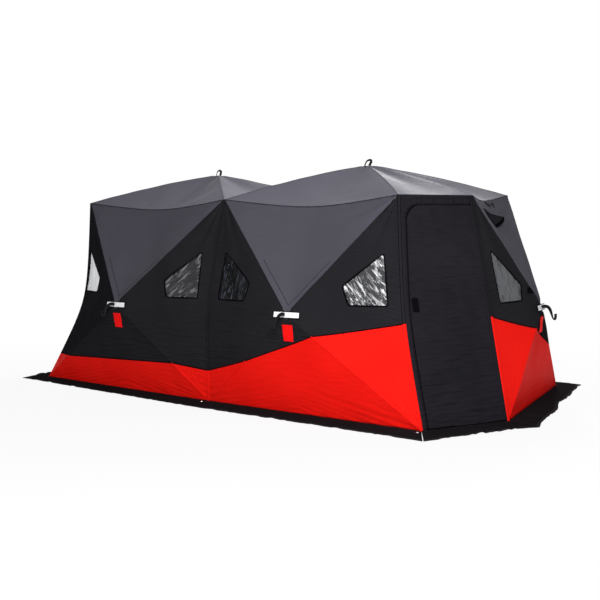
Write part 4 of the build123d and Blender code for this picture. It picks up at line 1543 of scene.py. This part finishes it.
@dataclass
class EndTrim:
    """What is sewn on an end wall: a vent hood, a webbing loop under the eave and a tab by the window."""

    wall: HubWall
    hood: tuple = ((0.277, 0.914), (0.757, 0.817), (0.375, 0.758), (0.270, 0.861))
    tab: tuple = ((0.188, 0.050), (0.182, 0.0), (0.130, 0.0), (0.136, 0.116))
    loop: tuple = ((0.0, 0.46, 0.985), (0.35, 0.52, 0.953), (0.6, 0.60, 0.982), (1.0, 0.66, 0.935))
    mouth: float = 0.030
    mesh_margin: float = 0.03

    @staticmethod
    def spread(corners: tuple, a: Array, b: Array) -> Array:
        """Goes over a four-cornered patch: a from first edge to mouth, b from upper to lower edge."""
        p1, p2, p3, p4 = (np.array(corner) for corner in corners)
        return mixed(mixed(p1, p2, a), mixed(p4, p3, a), b)

    def on_hood(self, a: Array, b: Array, lift: float) -> Array:
        """Places points of the hood's patch over the grey triangle."""
        shares = self.spread(self.hood, a, b)
        return self.wall.on_upper(shares[..., 0], shares[..., 1], lift)

    def raised(self, a: Array, b: Array) -> Array:
        """Places points of the hood, which opens towards its mouth and is widest half way down."""
        return self.on_hood(a, b, 0.0035 + self.mouth * smooth_step(0.15, 1.0, a) * np.sin(np.pi * b) ** 0.7)

    def dress(self) -> None:
        """Puts the hood, the dark mesh under it, its piping, the loop and the tab in place."""
        wall, name = self.wall, self.wall.name
        a, b = np.meshgrid(np.linspace(0.0, 1.0, 40), np.linspace(0.0, 1.0, 30), indexing="ij")
        put_sheet(wall.net(self.raised(a, b)), f"{name}_vent_hood", VENT_CLOTH, Held.STRETCHED,
                  (f"{name}_grey_triangle",), thickness=0.0015, nodes=("end_vents",))
        wide_a, wide_b = ((1 + 2 * self.mesh_margin) * share - self.mesh_margin for share in (a, b))
        mesh = self.on_hood(wide_a, wide_b, 0.0012)
        put(wall.net(mesh), f"{name}_vent_mesh", BINDING, thickness=0.002, nodes=("end_vents",))
        s = np.linspace(0.0, 1.0, 60)
        nought, one = np.zeros_like(s), np.ones_like(s)
        piping = [banded(self.raised(across, down), wall.axis, width, 0.0025) for across, down, width in
                  ((s, nought, 0.012), (s, one, 0.012), (nought, s, 0.014), (one, s, 0.030))]
        put(Surface.joined(piping), f"{name}_vent_piping", BINDING)
        run, across, out = np.array(self.loop).T
        lift = 0.004 + 0.014 * np.sin(np.pi * s)
        loop = wall.on_upper(np.interp(s, run, across), np.interp(s, run, out), lift)
        put(banded(loop, wall.axis, 0.020, 0.002), f"{name}_eave_loop", WEBBING)
        pair = self.spread(self.tab, a, b)
        points = wall.on_side(wall.left, np.pad(pair, ((0, 0), (0, 0), (0, 1))), 0.004)
        put(wall.net(points), f"{name}_tab", BINDING, thickness=0.0025)


@dataclass
class Hut:
    """The whole hut: its corners, seams and hubs, from the same sizes as its frame, in metres."""

    foot_z: float = 0.0043
    eave_z: float = 1.773
    hub_z: float = 0.811
    dome_x: float = 0.891
    roof_rise: float = 0.281
    centre_z: float = 0.850
    door_heading: float = np.radians(59.0)
    door_width: float = 0.770
    door_top_width: float = 0.670
    door_inset: float = 0.090
    door_lean: float = 0.487
    door_drop: float = 0.038
    middle_foot: float = -1.178
    middle_top: float = -0.931
    middle_drop: float = 0.025
    middle_bow: float = 0.100
    near_foot: tuple[float, float] = (2.050, -1.150)
    near_bow: float = 0.058
    far_foot: tuple[float, float] = (2.243, 1.142)
    far_top: tuple[float, float] = (1.867, 0.852)
    far_bow: float = 0.160
    seam_bands: tuple[float, float, float, float] = (0.34, 0.95, 0.97, 0.31)
    valley_lap: float = 0.20
    corner_width: float = 0.026
    eave_sags: tuple = (0.105, 0.0, 0.070, 0.105, 0.060)
    bay_windows: tuple = ((0.34, 0.14, 0.52), (0.25, 0.50, 0.25), (0.45, 0.455, 0.095), (0.78, 0.125, 0.095))
    far_windows: tuple = ((0.41, 0.08, 0.51), (0.34, 0.42, 0.24), (0.55, 0.36, 0.09), (0.87, 0.04, 0.09))
    end_windows: tuple = ((0.30, 0.17, 0.53), (0.12, 0.66, 0.22), (0.30, 0.62, 0.08), (0.71, 0.21, 0.08))

    def __post_init__(self) -> None:
        """Works out the middle of the right half and the right half's seams and eaves."""
        self.centre = np.array((self.dome_x, 0.0, self.centre_z))
        self.right_seams = self.seams()
        ends = self.right_seams[1:] + self.right_seams[:1]
        self.eaves = np.array([self.sagged(start.top, end.top, sag)
                               for start, end, sag in zip(self.right_seams, ends, self.eave_sags)])

    def seam(self, foot: Array, top: Array, push: Array, band_share: float) -> Seam:
        """Makes a seam that bows by push at hub height."""
        share = (self.hub_z - foot[2]) / (top[2] - foot[2])
        return Seam(top, mixed(foot, top, share) + push, foot, band_share)

    def seams(self) -> list[Seam]:
        """Makes the right half's seams.

        Returns:
            The seams in order: middle, near, door far, far, back middle.
        """
        bands = self.seam_bands
        heading = np.array((np.cos(self.door_heading), np.sin(self.door_heading), 0.0))
        outward = np.array((heading[1], -heading[0], 0.0))
        middle = self.seam(np.array((0.0, self.middle_foot, self.foot_z)),
                           np.array((0.0, self.middle_top, self.eave_z - self.middle_drop)),
                           np.array((0.0, -self.middle_bow, 0.0)), bands[0])
        foot = np.array((*self.near_foot, self.foot_z))
        top = (foot + UP * (self.eave_z - self.door_drop - self.foot_z) - outward * self.door_lean
               + heading * self.door_inset)
        near = self.seam(foot, top, -self.near_bow * heading, bands[1])
        door_far = self.seam(foot + heading * self.door_width, top + heading * self.door_top_width,
                             np.zeros(3), bands[2])
        foot = np.array((*self.far_foot, self.foot_z))
        pull = unit(np.array((self.dome_x, 0.0, 0.0)) - foot * np.array((1.0, 1.0, 0.0))) * self.far_bow
        far = self.seam(foot, np.array((*self.far_top, self.eave_z)), pull, bands[3])
        return [middle, near, door_far, far, middle.half_turned()]

    def feet(self) -> Array:
        """Gives the corners of the footprint.

        Returns:
            The corners, from the left far corner round by the front.
        """
        middle, near, door_far, far = self.right_seams[:4]
        half = np.array([far.foot * HALF_TURN, middle.foot, near.foot, door_far.foot])
        return np.concatenate((half, half * HALF_TURN)) * np.array((1.0, 1.0, 0.0))

    def sagged(self, start: Array, end: Array, sag: float) -> Array:
        """Draws the middle of an eave towards the dome's centre, square to the eave.

        Args:
            start: The eave's first end.
            end: Its second end.
            sag: How far its middle is drawn in.

        Returns:
            The eave's middle.
        """
        along = unit(end - start)
        middle = (start + end) / 2
        inward = self.centre - middle
        return middle + unit(inward - along * (inward @ along)) * sag

    def wall(self, name: str, left: Seam, right: Seam, push: float, eave: Array, bands: tuple[float, float],
             windows: tuple, streaks: tuple[float, float], puckers: tuple[float, float],
             panes: tuple[VinylFinish, VinylFinish], seed: int) -> HubWall:
        """Makes a wall between two seams, its hub over the mean of its corners and pushed out.

        Args:
            name: The wall's name.
            left: Its left seam, seen from outside.
            right: Its right seam.
            push: How far out the hub stands.
            eave: The middle of its eave.
            bands: The red band's heights on the two lower poles, as shares of the pole.
            windows: The corners of its two windows, as shares of the facet's corners.
            streaks: The turns of the two panes' creases, in degrees.
            puckers: The heights of the puckers on the two sides.
            panes: The two panes' finishes.
            seed: The seed of its waves.

        Returns:
            The wall.
        """
        along = unit(right.foot - left.foot)
        middle = (left.top + right.top + left.foot + right.foot) / 4
        hub = middle + np.array((along[1], -along[0], 0.0)) * push
        hub[2] = self.hub_z
        return HubWall(name, left, right, hub, eave, self.centre, bands, np.array(windows), streaks, puckers,
                       panes, seed)

    def walls(self) -> list[HubWall]:
        """Makes the right half's three hub walls and their half-turned twins.

        Returns:
            The six walls.
        """
        middle, near, door_far, far, back = self.right_seams
        bay, far_side, end = self.bay_windows, self.far_windows, self.end_windows
        # each pane takes the vinyl copy whose painted light matches how lit that window looks
        right = [
            self.wall("front_right", middle, near, 0.274, self.eaves[0], (0.49, 0.80), (bay, bay),
                      (82.0, 50.0), (0.0024, 0.0056), (VINYL, GLINT_PAINTED_VINYL), 1),
            self.wall("right_end", door_far, far, 0.255, self.eaves[2], (0.80, 0.56), (end, end),
                      (85.0, 60.0), (0.0026, 0.0016), (DAYLIT_VINYL, DAYLIT_VINYL), 2),
            self.wall("back_right", far, back, 0.274, self.eaves[3], (0.32, 0.38), (far_side, bay),
                      (88.0, 140.0), (0.0022, 0.0024), (BACKDROP_PAINTED_VINYL, SHEEN_VINYL), 3)]
        return right + [wall.half_turned(name, wall.seed + len(right)) for wall, name in
                        zip(right, ("back_left", "left_end", "front_left"))]

    def dress(self) -> None:
        """Dresses walls, doors, roofs, skirt and hubs, and the frame that shows inside."""
        for wall in self.walls():
            wall.dress()
            HubTrim(wall).dress()
            if wall.name.endswith("_end"):
                EndTrim(wall).dress()
        middle, near, door_far, far, back = self.right_seams
        left_near, left_door_far, left_far = (seam.half_turned() for seam in (near, door_far, far))
        DoorWall("door", near, door_far, self.centre, Body.DOOR, 11).dress()
        DoorWall("rear_door", left_near, left_door_far, self.centre * HALF_TURN, Body.SHELTER, 12,
                 turned=True).dress()
        self.dress_roofs()
        Skirt(self.feet()).dress()
        for seam, name in ((middle, "front_middle"), (near, "right_near"), (door_far, "right_door_far"),
                           (far, "right_far"), (back, "back_middle"), (left_near, "left_near"),
                           (left_door_far, "left_door_far"), (left_far, "left_far")):
            self.dress_corner(seam, name)
        for node in ("wall_hubs", "roof_hubs", "front_poles", "end_poles", "back_poles", "roof_poles"):
            finish = NYLON if node.endswith("_hubs") else FIBREGLASS
            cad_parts[node].data.materials.clear()
            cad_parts[node].data.materials.append(finish.material())

    def dress_roofs(self) -> None:
        """Puts on the two domes, the strip between them and the loops on their hubs."""
        hub = np.array((self.dome_x, 0.0, self.eave_z + self.roof_rise))
        corners = np.array([seam.top for seam in self.right_seams])
        loop_foot = hub + UP * (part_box("roof_straps")[0][2] - hub[2])
        for name, way, seed in (("right_roof", np.ones(3), 21), ("left_roof", HALF_TURN, 22)):
            Roof(name, hub * way, corners * way, self.eaves * way, self.centre * way, seed).dress()
        self.dress_valley(corners[4], self.eaves[4], corners[0])
        for name, way, flop in (("right_roof_loop", np.ones(3), 0.45), ("left_roof_loop", HALF_TURN, 0.20)):
            RoofLoop(name, loop_foot * way, flop).dress()

    def dress_valley(self, back: Array, eave: Array, front: Array) -> None:
        """Sews a strip across the valley between the domes, straight from one dome's rim to the other's.

        Args:
            back: The valley's back end.
            eave: The middle of the right dome's rim.
            front: The valley's front end.
        """
        t = np.linspace(-1.0, 1.0, 120)
        right = bowed(back, eave, front, t, EAVE_SOFTNESS)
        left = right[::-1] * HALF_TURN
        across = np.linspace(-self.valley_lap, 1 + self.valley_lap, 9)
        points = mixed(right[None], left[None], across[:, None]) - UP * 0.002
        strip = Surface.from_grid(points, points[..., :2]).facing(np.array((0.0, 0.0, self.centre_z)))
        put_sheet(strip, "roof_valley_strip", ROOF_CLOTH, Held.STRETCHED,
                  ("right_roof_dome", "left_roof_dome"), nodes=("centre_seam_tape",))

    def dress_corner(self, seam: Seam, name: str) -> None:
        """Binds a corner seam with a tape in each cloth's colour, stitched along its two edges on the black.

        Args:
            seam: The seam.
            name: The corner's name.
        """
        side = -1.0 if seam.top[0] < -0.01 else float(seam.top[0] > 0.01)
        split = 1.0 - seam.band_share
        for part, finish, start, end in (("black", BLACK_CLOTH, -1.0, split),
                                         ("red", RED_CLOTH, split, 1.0)):
            path = seam.at(np.linspace(start, end, 100))
            outward = path - np.array((side * self.dome_x, 0.0, self.centre_z))
            outward[:, 2] = 0.0
            put(banded(path, outward, self.corner_width, 0.004), f"{name}_{part}_corner_seam", finish)
            if part == "black":
                across = unit(np.cross(np.gradient(path, axis=0), outward))
                stitched = [banded(path + across * offset + unit(outward) * 0.0012, outward, 0.004, 0.0022)
                            for offset in (-0.0105, 0.0105)]
                put(Surface.joined(stitched), f"{name}_corner_stitching", BINDING)


@dataclass(frozen=True)
class FloorFinish(Finish):
    """Matt white studio paper, which the camera sees almost white and which keeps a soft shadow."""

    name: str = "matt_studio_paper"
    colour: str = "#d8d8d8"
    glow: float = 0.90
    fade: tuple[float, float] = (3.0, 6.0)

    def dress(self, tree: bpy.types.NodeTree, coords: bpy.types.Node) -> bpy.types.Node:
        """Mixes plain paper with white for what camera, gloss and glass see, all white away from the hut.

        Args:
            tree: The material's node tree.
            coords: The texture coordinates.

        Returns:
            The shader node.
        """
        away = add_node(tree, "ShaderNodeVectorMath", {"operation": "LENGTH"}, {0: (coords, "Object")})
        glow = add_node(tree, "ShaderNodeMapRange",
                        {"From Min": self.fade[0], "From Max": self.fade[1],
                         "To Min": self.glow, "To Max": 1.0}, {"Value": (away, "Value")})
        share = add_node(tree, "ShaderNodeMath", {"operation": "MULTIPLY"},
                         {0: (seen_mask(tree), "Value"), 1: (glow, "Result")})
        paper = add_node(tree, "ShaderNodeBsdfDiffuse", {"Color": linear(self.colour)})
        white = add_node(tree, "ShaderNodeEmission", {"Strength": 1.0})
        return add_node(tree, "ShaderNodeMixShader", {}, {0: (share, "Value"), 1: (paper, 0), 2: (white, 0)})


@dataclass
class Studio:
    """The pale floor, the soft light and the camera at the photograph's viewing angle."""

    eye: tuple[float, float, float] = (4.84, -6.446, 1.438)
    yaw: float = 0.631
    pitch: float = -0.079
    roll: float = -0.010
    lens: float = 49.774
    sensor: float = 36.0
    floor_size: float = 60.0
    sky: float = 0.22

    def build(self, feet: Array) -> None:
        """Sets up floor, world, lamps and camera.

        Args:
            feet: The corners of the hut's footprint, where the floor is in its shade.
        """
        scene = bpy.context.scene
        scene.view_settings.view_transform = "Standard"
        rim = unit(feet) * self.floor_size / 2
        self.lay_floor("studio_floor", np.array((feet, rim)), FloorFinish())
        shaded = FloorFinish("shaded_studio_paper", glow=0.0)
        self.lay_floor("shaded_floor", np.array((feet * 0.001, feet)), shaded)
        self.light_world(scene)
        self.add_lamp("key_lamp", (4.6, -5.3, 3.8), (0.9, 0.0, 0.9), 2.2, 460.0)
        self.add_lamp("fill_lamp", (2.8, -8.5, 2.3), (1.0, 0.0, 0.7), 1.2, 90.0)
        self.add_lamp("rear_lamp", (-1.5, 6.5, 6.2), (0.0, 0.0, 1.5), 3.0, 760.0)
        self.add_lamp("left_lamp", (-7.0, 3.0, 3.0), (-1.5, 0.3, 0.9), 2.5, 170.0)
        self.add_camera(scene)

    @staticmethod
    def lay_floor(name: str, rows: Array, finish: Finish) -> None:
        """Lays a ring of floor between two closed rows of corners.

        Args:
            name: The floor's name.
            rows: The inner and the outer row.
            finish: Its finish.
        """
        net = Surface.from_grid(rows, rows[..., :2], closed=True).facing(-UP)
        mesh = bpy.data.meshes.new(name)
        mesh.from_pydata(net.points.tolist(), [], net.quads.tolist())
        mesh.materials.append(finish.material())
        floor = bpy.data.objects.new(name, mesh)
        bpy.context.collection.objects.link(floor)

    def light_world(self, scene: bpy.types.Scene) -> None:
        """Lights the world evenly, white where the camera, gloss or glass sees it.

        Args:
            scene: The scene that the world is for.
        """
        world = bpy.data.worlds.new("studio_world")
        world.use_nodes = True
        tree = world.node_tree
        tree.nodes.clear()
        strength = add_node(tree, "ShaderNodeMapRange", {"To Min": self.sky, "To Max": 1.0},
                            {"Value": (seen_mask(tree), "Value")})
        light = add_node(tree, "ShaderNodeBackground", {"Color": (1.0, 1.0, 1.0, 1.0)},
                         {"Strength": (strength, "Result")})
        add_node(tree, "ShaderNodeOutputWorld", links={"Surface": (light, 0)})
        scene.world = world

    def add_lamp(self, name: str, place: tuple, aim: tuple, size: float, power: float) -> None:
        """Adds a square soft lamp that points at a place.

        Args:
            name: The lamp's name.
            place: Where it stands.
            aim: Where it points.
            size: Its side.
            power: Its power in watts.
        """
        lamp = bpy.data.lights.new(name, "AREA")
        lamp.size = size
        lamp.energy = power
        holder = bpy.data.objects.new(name, lamp)
        holder.matrix_world = self.facing(np.array(place), unit(np.array(aim) - np.array(place)), 0.0)
        bpy.context.collection.objects.link(holder)

    @staticmethod
    def facing(place: Array, forward: Array, roll: float) -> Matrix:
        """Gives the place and turn of something that looks along a direction.

        Args:
            place: Where it stands.
            forward: Where it looks.
            roll: How far it is rolled.

        Returns:
            The matrix of its place and turn.
        """
        right = unit(np.cross(forward, UP))
        above = np.cross(right, forward)
        turned_right = np.cos(roll) * right + np.sin(roll) * above
        turned_up = -np.sin(roll) * right + np.cos(roll) * above
        table = np.eye(4)
        table[:3, :] = np.stack((turned_right, turned_up, -forward, place), axis=-1)
        return Matrix(table.tolist())

    def add_camera(self, scene: bpy.types.Scene) -> None:
        """Adds the camera and makes it the scene's.

        Args:
            scene: The scene.
        """
        camera = bpy.data.cameras.new("camera")
        camera.lens = self.lens
        camera.sensor_width = self.sensor
        holder = bpy.data.objects.new("camera", camera)
        forward = np.array((-np.sin(self.yaw) * np.cos(self.pitch), np.cos(self.yaw) * np.cos(self.pitch),
                            np.sin(self.pitch)))
        holder.matrix_world = self.facing(np.array(self.eye), forward, self.roll)
        bpy.context.collection.objects.link(holder)
        scene.camera = holder


def main() -> None:
    """Builds the hut and its studio."""
    logging.basicConfig(level=logging.INFO, format="%(name)s %(message)s")
    hut = Hut()
    hut.dress()
    Studio().build(hut.feet())


if __name__ == "__main__":
    main()
